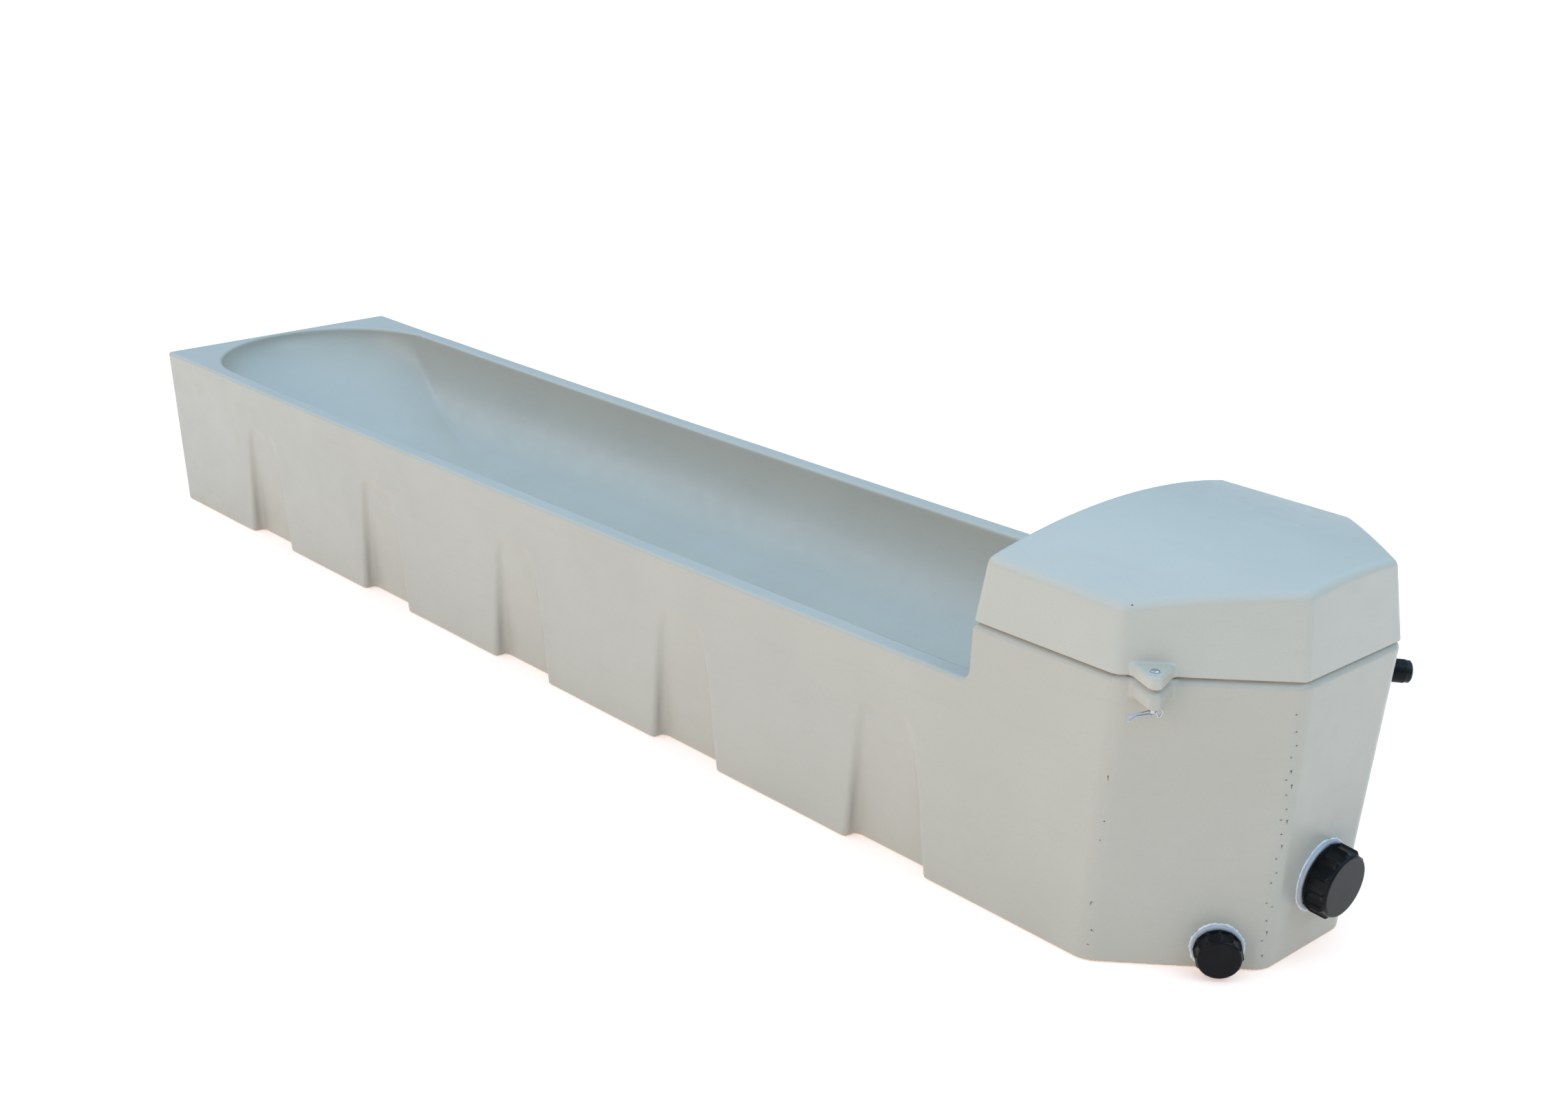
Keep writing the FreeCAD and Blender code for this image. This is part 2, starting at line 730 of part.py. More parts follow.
def latch_pin(name, place):
    """Clevis pin, head up, with a cross hole for the spring clip."""
    shank = turned(f"{name}_shank", [
        ("0", "-Size.pin_length"),
        ("Size.pin_radius - Size.pin_point", "-Size.pin_length"),
        ("Size.pin_radius", "-Size.pin_length + Size.pin_point"),
        ("Size.pin_radius", "0"),
        ("Size.pin_head_radius", "0"),
        ("Size.pin_head_radius", "Size.pin_head_height * 0.45"),
        ("Size.pin_head_radius * 0.82", "Size.pin_head_height * 0.8"),
        ("Size.pin_head_radius * 0.45", "Size.pin_head_height"),
        ("0", "Size.pin_head_height"),
    ])
    seat = size("lid_bottom") + size("lid_lug_height")
    centre = place.multVec(FreeCAD.Vector(size("pin_offset"), 0, seat))
    shank.Placement = FreeCAD.Placement(centre, FreeCAD.Rotation())
    drill = doc.addObject("Part::Cylinder", f"{name}_cross_hole")
    bind(drill, Radius="Size.clip_hole_radius", Height="Size.pin_radius * 4")
    heading = clip_heading(place)
    back = FreeCAD.Vector(-2 * size("pin_radius"), 0, 0)
    level = FreeCAD.Vector(centre.x, centre.y, size("clip_level"))
    sideways = heading.multiply(FreeCAD.Rotation(FreeCAD.Vector(0, 1, 0), 90))
    drill.Placement = FreeCAD.Placement(level + heading.multVec(back), sideways)
    return label(cut(f"{name}_drilled", shank, drill), name)


def clip_heading(place):
    """Level direction in which the clip points away from the pin."""
    side = 1 if place.Base.y > 0 else -1
    return FreeCAD.Rotation(FreeCAD.Vector(0, 0, 1), -side * size("clip_heading"))


def spring_clip(name, place):
    """Hairpin clip: a straight leg through the pin, an eye, and a humped leg."""
    eye = size("clip_eye_radius")
    hump = size("clip_hump")
    reach = size("clip_reach")
    wire = size("clip_wire_radius")
    back = -size("clip_back")
    route = [(reach, 0)]
    for step in range(CLIP_EYE_STEPS + 1):
        angle = math.pi / 2 + math.pi * step / CLIP_EYE_STEPS
        route.append((back + eye * math.cos(angle), eye * math.sin(angle) - eye))
    for step in range(CLIP_HUMP_STEPS + 1):
        angle = math.pi * (1.25 + 0.5 * step / CLIP_HUMP_STEPS)
        route.append((hump * math.cos(angle) + 0.5, hump * math.sin(angle)))
    route.append((reach * 0.62, -3.2))
    route.append((reach * 0.95, -3.2 - size("clip_splay")))
    points = [FreeCAD.Vector(x, y, 0) for x, y in route]
    pieces = []
    for here, there in zip(points, points[1:]):
        run = there - here
        pieces.append(Part.makeCylinder(wire, run.Length, here, run))
        pieces.append(Part.makeSphere(wire, there))
    item = doc.addObject("Part::Feature", name)
    item.Shape = pieces[0].multiFuse(pieces[1:]).removeSplitter()
    centre = place.multVec(FreeCAD.Vector(size("pin_offset"), 0, size("clip_level")))
    droop = FreeCAD.Rotation(FreeCAD.Vector(0, 1, 0), size("clip_droop"))
    roll = FreeCAD.Rotation(FreeCAD.Vector(1, 0, 0), size("clip_roll"))
    item.Placement = FreeCAD.Placement(centre, clip_heading(place).multiply(droop).multiply(roll))
    return label(item, name)


for latch_name, place in LATCH_FRAMES.items():
    latch_pin(f"{latch_name}_latch_pin", place)
    spring_clip(f"{latch_name}_spring_clip", place)

# --- outlets ----------------------------------------------------------------------

def ring_profile(inner, outer_radius, low, high):
    return [(inner, low), (outer_radius, low), (outer_radius, high), (inner, high)]


def thread_profile(crest, root, top, pitch, rings):
    """Corners of a ringed thread, from its lowest root up to its top edge."""
    corners = []
    for number in range(rings, 0, -1):
        corners.append((root, f"{top} - {pitch} * {number}"))
        corners.append((crest, f"{top} - {pitch} * {number} + {pitch} * 0.5"))
    corners.append((root, top))
    return corners


def cap_ribs(body, name, rib_radius, skirt_radius, low, high):
    """Raised grips spaced evenly round a cap."""
    grip = outline(body, f"{name}_grip", "XY_Plane", [
        (f"Size.{skirt_radius} - 2", "-Size.cap_rib_half"),
        (f"Size.{rib_radius}", "-Size.cap_rib_half * 0.7"),
        (f"Size.{rib_radius}", "Size.cap_rib_half * 0.7"),
        (f"Size.{skirt_radius} - 2", "Size.cap_rib_half"),
    ], low)
    pad = body.newObject("PartDesign::Pad", f"{name}_grip_pad")
    pad.Profile = grip
    pad.setExpression("Length", f"{high} - ({low})")
    doc.recompute()
    pattern = body.newObject("PartDesign::PolarPattern", f"{name}_grips")
    pattern.Originals = [pad]
    pattern.Axis = (grip, ["N_Axis"])
    pattern.Angle = 360
    pattern.Occurrences = CAP_RIBS
    body.Tip = pattern


def outlet(name, prefix, place):
    """Flanged threaded outlet: gasket, spigot, inside nut, cap seal and cap."""
    thread = f"Size.{prefix}_thread"
    root = f"Size.{prefix}_root"
    bore_radius = f"Size.{prefix}_bore"
    neck_end = f"Size.{prefix}_neck_end"
    flange_low = "Size.outlet_gasket_thick"
    flange_high = "(Size.outlet_gasket_thick + Size.outlet_flange_thick)"
    barrel = f"({thread} - Size.outlet_barrel_shy)"
    gasket = turned(f"{name}_gasket", ring_profile(f"{thread} + 0.1", f"Size.{prefix}_gasket",
                                                   "Size.wall_standoff", flange_low))
    corners = [(bore_radius, "Size.outlet_barrel_back"), (barrel, "Size.outlet_barrel_back"),
               (barrel, flange_low), (f"Size.{prefix}_flange", flange_low),
               (f"Size.{prefix}_flange", flange_high), (root, flange_high)]
    corners += thread_profile(thread, root, neck_end, "Size.outlet_pitch", NECK_RINGS)
    corners.append((bore_radius, neck_end))
    spigot = turned(f"{name}_spigot", corners)
    nut_low = "-Size.skin - Size.outlet_nut_height"
    nut_block = prism(f"{name}_nut_block", f"Size.{prefix}_nut", "Size.outlet_nut_height", nut_low)
    nut_hole = cylinder(f"{name}_nut_hole", f"{barrel} + Size.thread_play",
                        "Size.outlet_nut_height + 2", z=f"{nut_low} - 1")
    nut = cut(f"{name}_nut", nut_block, nut_hole)
    seal_high = f"{neck_end} + Size.cap_seal_thick"
    seal = turned(f"{name}_cap_seal", ring_profile(bore_radius, thread, neck_end, seal_high))
    skirt_low = f"{flange_high} + Size.cap_gap"
    cap_top = f"Size.{prefix}_cap_top"
    cap_radius = f"Size.{prefix}_cap_radius"
    inner = f"{thread} + Size.cap_clearance"
    cap = turned(f"{name}_cap", [
        (inner, skirt_low), (f"{cap_radius} + 1.2", skirt_low),
        (f"{cap_radius} + 1.2", f"{skirt_low} + 3"), (cap_radius, f"{skirt_low} + 5"),
        (cap_radius, f"{cap_top} - 2.5"),
        (f"{cap_radius} - 2.5", cap_top), ("0", cap_top),
        ("0", f"{seal_high} + Size.wall_standoff"), (inner, f"{seal_high} + Size.wall_standoff"),
    ])
    cap_ribs(cap, f"{name}_cap", f"{prefix}_rib_radius", f"{prefix}_cap_radius",
             f"{skirt_low} + 2", f"{cap_top} - 3.5")
    for item, role in ((gasket, "gasket"), (spigot, "spigot"), (nut, "backnut"),
                       (seal, "cap_seal"), (cap, "cap")):
        item.Placement = place
        label(item, f"{name}_{role}")


outlet("main_outlet", "main", MAIN_FRAME)
outlet("drain", "drain", DRAIN_FRAME)

# --- inlet and float valve ----------------------------------------------------------
# Local frame of the valve: Z out of the wall, X level along it, Y upwards.

inner_face = "(-Size.skin - Size.washer_thick)"
flange_back = f"({inner_face} - Size.valve_flange_height)"


def at_inlet(item, node):
    item.Placement = INLET_FRAME
    return label(item, node)


# A relief groove stands between the lock nut and the free stretch of the tail.
lock_top = "(Size.washer_thick + Size.lock_nut_height)"
thread_start = f"({lock_top} + Size.relief_width)"
valve_turned = turned("valve_turned", [
    ("Size.valve_bore", "Size.valve_end"),
    ("Size.valve_barrel_radius", "Size.valve_end"),
    ("Size.valve_barrel_radius", inner_face),
    ("Size.inlet_radius", inner_face),
    ("Size.inlet_radius", lock_top),
    ("Size.inlet_radius - Size.relief_depth", lock_top),
    ("Size.inlet_radius - Size.relief_depth", thread_start),
    ("Size.inlet_radius", thread_start),
    ("Size.inlet_radius", "Size.inlet_reach - Size.inlet_end_bevel"),
    ("Size.inlet_radius - Size.inlet_end_bevel", "Size.inlet_reach"),
    ("Size.inlet_bore", "Size.inlet_reach"),
    ("Size.inlet_bore", "Size.seat_step"),
    ("Size.seat_nose + 0.1", "Size.seat_step"),
    ("Size.seat_nose + 0.1", "Size.seat_face + 1"),
    ("Size.valve_bore", "Size.seat_face + 1"),
])
valve_flange = cut("valve_flange",
                   prism("valve_hex", "Size.valve_flange_radius", "Size.valve_flange_height",
                         flange_back),
                   cylinder("valve_hex_hole", "Size.valve_barrel_radius - 1",
                            "Size.valve_flange_height + 2", z=f"{flange_back} - 1"))
ear_low = "(-Size.pivot_drop - Size.ear_reach)"
ears = []
for number, (near, far) in enumerate((("Size.ear_inner", "Size.ear_outer"),
                                      ("-Size.ear_outer", "-Size.ear_inner"))):
    ears.append(block(f"valve_ear_{number}", (near, ear_low, "Size.pivot_back - Size.ear_reach"),
                      (far, "-Size.valve_bore - 3", "Size.pivot_back + Size.ear_reach")))
finger_slot = block("finger_slot",
                    ("-Size.ear_inner", "-Size.valve_barrel_radius - 3", "Size.pivot_back - 11"),
                    ("Size.ear_inner", "-4", "Size.pivot_back + 11"))
pivot_bore = cylinder("pivot_bore", "Size.pivot_radius + 0.1", "Size.ear_outer * 4",
                      x="-Size.ear_outer * 2", y="-Size.pivot_drop", z="Size.pivot_back",
                      axis=(0, 1, 0), degrees=90)
valve_solid = join("valve_solid", [valve_turned, valve_flange] + ears)
at_inlet(cut("valve_cast", valve_solid, join("valve_voids", [finger_slot, pivot_bore])),
         "float_valve_body")

washer_hole = "Size.inlet_radius + Size.thread_play"
washer_in = turned("inlet_washer_in", ring_profile(washer_hole, "Size.inlet_washer_radius",
                                                   inner_face, "-Size.skin"))
at_inlet(washer_in, "inlet_inner_washer")
washer_out = turned("inlet_washer_out", ring_profile(washer_hole, "Size.inlet_washer_radius",
                                                     "Size.wall_standoff", "Size.washer_thick"))
at_inlet(washer_out, "inlet_outer_washer")
lock_block = prism("lock_block", "Size.lock_nut_radius", "Size.lock_nut_height", "Size.washer_thick")
lock_hole = cylinder("lock_hole", "Size.inlet_radius + 0.02", "Size.lock_nut_height + 2",
                     z="Size.washer_thick - 1")
at_inlet(cut("lock_nut", lock_block, lock_hole), "inlet_lock_nut")

seat = turned("seat", [
    ("Size.seat_hole", "Size.seat_face"), ("Size.seat_nose", "Size.seat_face"),
    ("Size.seat_nose", "Size.seat_step"), ("Size.inlet_bore - 0.1", "Size.seat_step"),
    ("Size.inlet_bore - 0.1", "Size.seat_back"), ("Size.seat_hole", "Size.seat_back"),
])
at_inlet(seat, "valve_seat")

# The piston is drawn open: its washer stands one stroke back from the seat.
washer_face = "(Size.seat_face - Size.seat_gap - Size.piston_stroke)"
piston_front = f"({washer_face} - Size.piston_washer_thick)"
piston_back = f"({piston_front} - Size.piston_length)"
piston_rod = turned("piston_rod", [
    ("0", piston_back), ("Size.piston_radius", piston_back),
    ("Size.piston_radius", piston_front), ("0", piston_front),
])
THROW = math.sin(math.radians(size("lever_throw")))
finger_open = f"(Size.pivot_back - Size.pivot_drop * {THROW:.5f})"
piston_slots = []
for number, (room, low, high) in enumerate((
        ("Size.finger_radius + Size.finger_play", "-Size.piston_radius - 1", "Size.finger_radius + 1"),
        ("Size.finger_radius + Size.piston_flare", "-Size.piston_radius - 1", "-Size.piston_radius / 2"))):
    piston_slots.append(block(f"piston_slot_{number}",
                              ("-Size.ear_inner", low, f"{finger_open} - ({room})"),
                              ("Size.ear_inner", high, f"{finger_open} + {room}")))
at_inlet(cut("piston_slotted", piston_rod, join("piston_slots", piston_slots)), "valve_piston")
piston_disc = turned("piston_disc", [
    ("0", piston_front), ("Size.piston_washer_radius", piston_front),
    ("Size.piston_washer_radius", washer_face), ("0", washer_face),
])
at_inlet(piston_disc, "piston_washer")

pivot_pin = turned("pivot_pin", [
    ("0", "-Size.pivot_half_length"),
    ("Size.pivot_radius", "-Size.pivot_half_length"),
    ("Size.pivot_radius", "Size.pivot_half_length"),
    ("Size.pivot_head_radius", "Size.pivot_half_length"),
    ("Size.pivot_head_radius", "Size.pivot_half_length + Size.pivot_head_height"),
    ("0", "Size.pivot_half_length + Size.pivot_head_height"),
])
PIVOT = FreeCAD.Placement(
    INLET_FRAME.multVec(FreeCAD.Vector(0, -size("pivot_drop"), size("pivot_back"))),
    INLET_FRAME.Rotation)
CROSSWISE = PIVOT.multiply(
    FreeCAD.Placement(FreeCAD.Vector(), FreeCAD.Rotation(FreeCAD.Vector(0, 1, 0), 90)))
pivot_pin.Placement = CROSSWISE
label(pivot_pin, "lever_pivot_pin")

# Lever frame: origin at the pivot, X along it, -Z along the float arm.
ARM_REST = size("arm_droop_closed") + size("arm_travel")
wall_lean = math.degrees(math.asin(-INLET_FRAME.Rotation.multVec(FreeCAD.Vector(0, 0, 1)).z))
ARM_SWING = FreeCAD.Rotation(FreeCAD.Vector(1, 0, 0), -(ARM_REST + wall_lean))
ARM = PIVOT.multiply(FreeCAD.Placement(FreeCAD.Vector(), ARM_SWING))
FINGER_TILT = ARM_REST + wall_lean - size("lever_throw")


def at_arm(item, node):
    item.Placement = ARM
    return label(item, node)


hub = cylinder("lever_hub", "Size.lever_hub_radius", "Size.lever_half_width * 2",
               x="-Size.lever_half_width", axis=(0, 1, 0), degrees=90)
finger = doc.addObject("Part::Box", "lever_finger")
bind(finger, Length="Size.lever_half_width * 2", Width="Size.pivot_drop",
     Height="Size.finger_neck * 2")
tilt = FreeCAD.Rotation(FreeCAD.Vector(1, 0, 0), FINGER_TILT)
finger.Placement = FreeCAD.Placement(
    tilt.multVec(FreeCAD.Vector(-size("lever_half_width"), 0, -size("finger_neck"))), tilt)
finger_tip = cylinder("finger_tip", "Size.finger_radius", "Size.lever_half_width * 2",
                      axis=(0, 1, 0), degrees=90)
tip_spot = tilt.multVec(FreeCAD.Vector(-size("lever_half_width"), size("pivot_drop"), 0))
move(finger_tip, *[f"{value:.4f}" for value in tip_spot])
socket = cylinder("lever_socket", "Size.lever_socket_radius", "Size.lever_socket_length",
                  z="-Size.lever_socket_length")
socket_hole = cylinder("socket_hole", "Size.rod_radius + 0.02", "Size.lever_socket_depth + 1",
                       z="-Size.lever_socket_length - 1")
hub_hole = cylinder("hub_hole", "Size.pivot_radius + Size.pivot_clearance", "Size.lever_half_width * 4",
                    x="-Size.lever_half_width * 2", axis=(0, 1, 0), degrees=90)
slab = block("lever_slab", ("-Size.lever_half_width", "-20", "-Size.lever_hub_radius * 2.2"),
             ("Size.lever_half_width", "20", "Size.lever_hub_radius"))
root_rod = overlap("lever_root", [slab, cylinder("lever_root_rod", "Size.lever_socket_radius",
                                                 "Size.lever_hub_radius * 2.2",
                                                 z="-Size.lever_hub_radius * 2.2")])
outer_rod = cut("lever_outer", socket, block("lever_trim", ("-20", "-20", "-Size.lever_hub_radius * 2.2"),
                                             ("20", "20", "20")))
lever_solid = join("lever_solid", [hub, finger, finger_tip, root_rod, outer_rod])
at_arm(cut("lever", lever_solid, join("lever_holes", [socket_hole, hub_hole])), "float_lever")

rod = cylinder("rod", "Size.rod_radius",
               "Size.rod_end - Size.lever_socket_length + Size.lever_socket_depth")
rod_shift = FreeCAD.Placement(FreeCAD.Vector(0, 0, -size("rod_end")), FreeCAD.Rotation())
rod.Placement = ARM.multiply(rod_shift)
label(rod, "float_rod")
ball_low = "(-Size.ball_centre - Size.ball_radius)"
ball = doc.addObject("Part::Sphere", "ball")
bind(ball, Radius="Size.ball_radius")
move(ball, z="-Size.ball_centre")
ball_room = doc.addObject("Part::Sphere", "ball_room")
bind(ball_room, Radius="Size.ball_radius - Size.ball_skin")
move(ball_room, z="-Size.ball_centre")
sleeve_outer = cylinder("sleeve_outer", "Size.ball_boss_radius", "Size.ball_radius * 2 + 2",
                        z=f"{ball_low} - 1")
sleeve_bore = cylinder("sleeve_bore", "Size.rod_radius + Size.thread_play",
                       "Size.ball_radius * 2 + 6", z=f"{ball_low} - 3")
ball_shell = join("ball_shell", [cut("ball_hollow", ball, ball_room), sleeve_outer])
at_arm(cut("ball_bored", ball_shell, sleeve_bore), "float_ball")

rod_nuts = []
for number, level in enumerate(("-Size.ball_centre + Size.ball_radius + 1",
                                "-Size.lever_socket_length - Size.rod_nut_height")):
    blank = prism(f"rod_nut_block_{number}", "Size.rod_nut_radius", "Size.rod_nut_height", level)
    hole = cylinder(f"rod_nut_hole_{number}", "Size.rod_radius + 0.02", "Size.rod_nut_height + 2",
                    z=f"{level} - 1")
    rod_nuts.append(cut(f"rod_nut_{number}", blank, hole))
at_arm(join("rod_nut_pair", rod_nuts), "float_rod_nuts")

# --- check and write -----------------------------------------------------------------

doc.recompute()
faults = []
for item in doc.Objects:
    if "Invalid" in item.State or "Error" in item.State:
        faults.append(f"{item.Name}: {item.State}")
for item in NODES:
    if item.Shape.isNull() or not item.Shape.isValid():
        faults.append(f"{item.Label}: bad shape")
if faults:
    raise RuntimeError("; ".join(faults))

os.makedirs("parts", exist_ok=True)
for item in NODES:
    item.Shape.exportStep(f"parts/{item.Label}.step")
    bounds = item.Shape.BoundBox
    print(f"{item.Label:24s} solids {len(item.Shape.Solids)} volume {item.Shape.Volume / 1000:9.1f} cm3"
          f"  x {bounds.XMin:8.1f} {bounds.XMax:8.1f}  y {bounds.YMin:7.1f} {bounds.YMax:7.1f}"
          f"  z {bounds.ZMin:6.1f} {bounds.ZMax:6.1f}")
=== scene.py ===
"""Looks of the livestock drinking trough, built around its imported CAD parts. Metres, +Z up."""

import math

import bmesh
import bpy
import numpy as np
from mathutils import Matrix, Vector


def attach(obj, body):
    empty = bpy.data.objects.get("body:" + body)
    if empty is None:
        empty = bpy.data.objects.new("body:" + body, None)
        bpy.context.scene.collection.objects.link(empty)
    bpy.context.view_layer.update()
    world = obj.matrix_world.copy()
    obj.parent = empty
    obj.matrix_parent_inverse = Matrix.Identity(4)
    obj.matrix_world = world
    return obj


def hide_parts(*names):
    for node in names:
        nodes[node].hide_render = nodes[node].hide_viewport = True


scene = bpy.context.scene
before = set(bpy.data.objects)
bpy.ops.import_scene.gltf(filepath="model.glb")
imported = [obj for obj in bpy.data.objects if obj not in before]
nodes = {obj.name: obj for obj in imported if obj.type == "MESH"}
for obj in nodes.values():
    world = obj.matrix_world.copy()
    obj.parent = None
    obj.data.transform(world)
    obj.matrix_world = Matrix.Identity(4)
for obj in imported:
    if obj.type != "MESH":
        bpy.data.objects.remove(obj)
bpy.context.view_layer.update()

# --- sizes ----------------------------------------------------------------------

RIM = 0.3685
SHOULDER = 0.4555
SHOULDER_RISE = 0.0080
SHOULDER_INSET = 0.009
UPSTAND_INSET = 0.010
UPSTAND_THICK = 0.008
UPSTAND_TOP = 0.480
SKIN = 0.007
BOX_LEFT = 1.077
NOTCH_RUN = 0.008
PARTITION = 1.097
SUMP_FLOOR = 0.008
SUMP_TOP = 0.4415
RIM_SAG = 0.007
RIM_SPAN = (-1.525, 1.055)

LID_BOTTOM = 0.4655
LID_TOP = 0.580
LID_SKIN = 0.006
LEDGE_INSET = 0.022
CROWN_TOP = 0.598
CROWN_RADIUS = 1.191
CROWN_FALL = 0.01396
CROWN_FROM = 1.011

BASIN_FLOOR = 0.160
BASIN_FLOOR_RADIUS = 0.190
BASIN_TIP = -1.512
BASIN_RAMP = 0.97
SCOOP_RADIUS = 0.258
FLOW_SILL = 0.165
FLOW_HEIGHT = 0.050
CHANNELS = 5
CHANNEL_FIRST = -1.095
CHANNEL_PITCH = 0.497
CHANNEL_TOP = 0.262
CHANNEL_DEPTH = 0.025

LUG_WIDTH = 0.056
LUG_DEPTH = 0.046
LUG_TIP_HALF = 0.007
LATCH_ALONG = 0.046
PIN_AHEAD = 0.024
PIN_BORE = 0.0045
CHAMFER_ANGLE = math.radians(42.8)

WALL_CORNER = 0.012
WAVE_DEPTH = 0.0005

MAIN = dict(thread=0.0439, cap=0.0515, rib=0.0540, top=0.0440, neck=0.0370, flange=0.0550)
DRAIN = dict(thread=0.0298, cap=0.0332, rib=0.0350, top=0.0360, neck=0.0300, flange=0.0365)
GASKET = 0.002
FLANGE_THICK = 0.005
CAP_GAP = 0.0015
CAP_SEAL = 0.00205
CAP_RIBS = 12
BORE_PLAY = 0.0006
INLET_RADIUS = 0.0166
INLET_HOLE = 0.0172
THREAD_PITCH = 0.002309
THREAD_HEIGHT = 0.0009
THREAD_STEPS = 48
INLET_THREAD = (0.014, 0.036)

FINE_EDGE = 0.0006
BODY_TRIANGLES = 192000
LID_TRIANGLES = 90000
CAP_TRIANGLES = 120000
SEALANT_TRIANGLES = 60000
CAP_STEP = 0.00075
SEALANT_STEP = 0.0006

CAP_FLUTE = 0.0024
CAP_LEAST_WALL = 0.0018
CAP_SHOULDER = 0.0035
CAP_NOSE = 0.005
CAP_TAPER = 0.0006
CAP_SKIRT_OUT = 0.0012
CAP_SKIRT_HIGH = 0.003
RIB_EXTRA = 0.0004
RIB_RIDGE = 0.16
THREAD_ROOT = 0.0004
BEAD_WIDTH = 0.0015
BEAD_RAGGED = 0.00034
BEAD_FINE = 0.00020
LAYER_GAP = 0.0001

POOR_FACE = 0.8
SLIVER_MERGES = (0.0004, 0.0008, 0.0012, 0.002, 0.003)


# --- solid forms as distance functions --------------------------------------------

def meet(a, b, radius):
    """What two forms share, with the edge between them rounded."""
    corner = np.hypot(np.maximum(a + radius, 0), np.maximum(b + radius, 0))
    return np.minimum(np.maximum(a, b), -radius) + corner


def join(a, b, radius):
    """Two forms together, with a fillet between them."""
    return -meet(-a, -b, radius)


def carve(a, b, radius):
    """The first form without the second, with the edge rounded."""
    return meet(a, -b, radius)


def plane(first, second, third):
    """Distance function of the plane through three points, positive on the outside.

    Seen from outside the points run anticlockwise.
    """
    a, b, c = (np.array(point) for point in (first, second, third))
    normal = np.cross(b - a, c - a)
    normal = normal / np.linalg.norm(normal)
    offset = float(normal @ a)
    return lambda x, y, z: normal[0] * x + normal[1] * y + normal[2] * z - offset


# Walls of the moulded body, drawn for the back half (+Y) and mirrored.
side_wall = plane((-1.5175, 0.2804, 0), (-1.5175, 0.2973, SHOULDER), (1.3015, 0.2665, 0))
chamfer_wall = plane((1.3015, 0.2665, 0), (1.3416, 0.2833, SHOULDER), (1.4883, 0.0935, 0))
end_wall = plane((1.4883, 0.09, 0), (1.525, 0.09, SHOULDER), (1.4883, 0.0, 0))
far_wall = plane((-1.5175, 0.0, 0), (-1.5267, 0.0, SHOULDER), (-1.5175, 0.1, 0))
basin_side = plane((-1.277, 0.257, 0), (-1.277, 0.257, RIM), (1.050, 0.2455, 0))
basin_near = plane((1.050, 0.1, 0), (1.050, 0.1, RIM), (1.050, 0.0, 0))
lid_left = plane((1.077, 0.0, LID_BOTTOM), (1.091, 0.0, LID_TOP), (1.077, 0.1, LID_BOTTOM))
lid_side = plane((1.077, 0.2847, LID_BOTTOM), (1.077, 0.271, LID_TOP), (1.338, 0.2847, LID_BOTTOM))
lid_chamfer = plane((1.338, 0.2847, LID_BOTTOM), (1.330, 0.271, LID_TOP), (1.524, 0.1125, LID_BOTTOM))
lid_end = plane((1.524, 0.1, LID_BOTTOM), (1.511, 0.1, LID_TOP), (1.524, 0.0, LID_BOTTOM))


def standing(spot, outward):
    """A place on a wall as (spot, axes): level across, rising, and straight out of the wall."""
    outward = outward / np.linalg.norm(outward)
    across = np.cross((0, 0, 1), outward)
    across = across / np.linalg.norm(across)
    return spot, (across, np.cross(outward, across), outward)


def local(place, x, y, z):
    """Coordinates across, rising and out of the wall at a place."""
    (ox, oy, oz), axes = place
    return [(x - ox) * way[0] + (y - oy) * way[1] + (z - oz) * way[2] for way in axes]


def chamfer_place(along, height, side, from_end=False):
    """A place on a chamfer, measured along it from its outer corner or from the end face."""
    share = height / SHOULDER
    corner_low = np.array((1.3015, side * 0.2665, 0))
    corner_high = np.array((1.3416, side * 0.2833, SHOULDER))
    end_low = np.array((1.4883, side * 0.0935, 0))
    end_high = np.array((1.525, side * 0.1135, SHOULDER))
    first = corner_low + (corner_high - corner_low) * share
    last = end_low + (end_high - end_low) * share
    level = (last - first) / np.linalg.norm(last - first)
    outward = -side * np.cross(level, corner_high - corner_low)
    spot = last - level * along if from_end else first + level * along
    return standing(spot, outward)


MAIN_PLACE = standing(np.array((1.4883 + 0.0367 * 0.125 / SHOULDER, 0.008, 0.125)),
                      np.array((SHOULDER, 0, -0.0367)))
DRAIN_PLACE = chamfer_place(0.184, 0.0395, -1)
INLET_PLACE = chamfer_place(0.070, 0.392, 1, from_end=True)
WALL_BORES = ((MAIN_PLACE, MAIN["thread"] + BORE_PLAY), (DRAIN_PLACE, DRAIN["thread"] + BORE_PLAY),
              (INLET_PLACE, INLET_HOLE))


def latch_place(side):
    """Centre of a latch on the wall at shoulder height, and its outward direction."""
    corner = Vector((1.3416, side * 0.2833, 0))
    along = (Vector((1.525, side * 0.1135, 0)) - corner).normalized()
    outward = Vector((math.sin(CHAMFER_ANGLE), side * math.cos(CHAMFER_ANGLE), 0))
    return corner + along * LATCH_ALONG, outward


def lug_plan(x, y):
    """Distance from the three-sided outline of a latch lug, seen from above."""
    centre, outward = latch_place(1)
    ahead = (x - centre.x) * outward.x + (y - centre.y) * outward.y
    across = np.abs(-(x - centre.x) * outward.y + (y - centre.y) * outward.x)
    run = LUG_WIDTH / 2 - LUG_TIP_HALF
    length = math.hypot(run, LUG_DEPTH)
    flank = (run * ahead + LUG_DEPTH * (across - LUG_WIDTH / 2)) / length
    nose = meet(flank, ahead - LUG_DEPTH, 0.005)
    return meet(nose, -ahead - 0.015, 0.002)


def sagged(x, z):
    """Height measured from the rim's sagging line, so that the long walls dip in the middle."""
    middle = sum(RIM_SPAN) / 2
    half = (RIM_SPAN[1] - RIM_SPAN[0]) / 2
    dip = RIM_SAG * np.clip(1 - ((x - middle) / half) ** 2, 0, 1)
    return z + dip * np.clip(z / RIM, 0, 1) ** 2


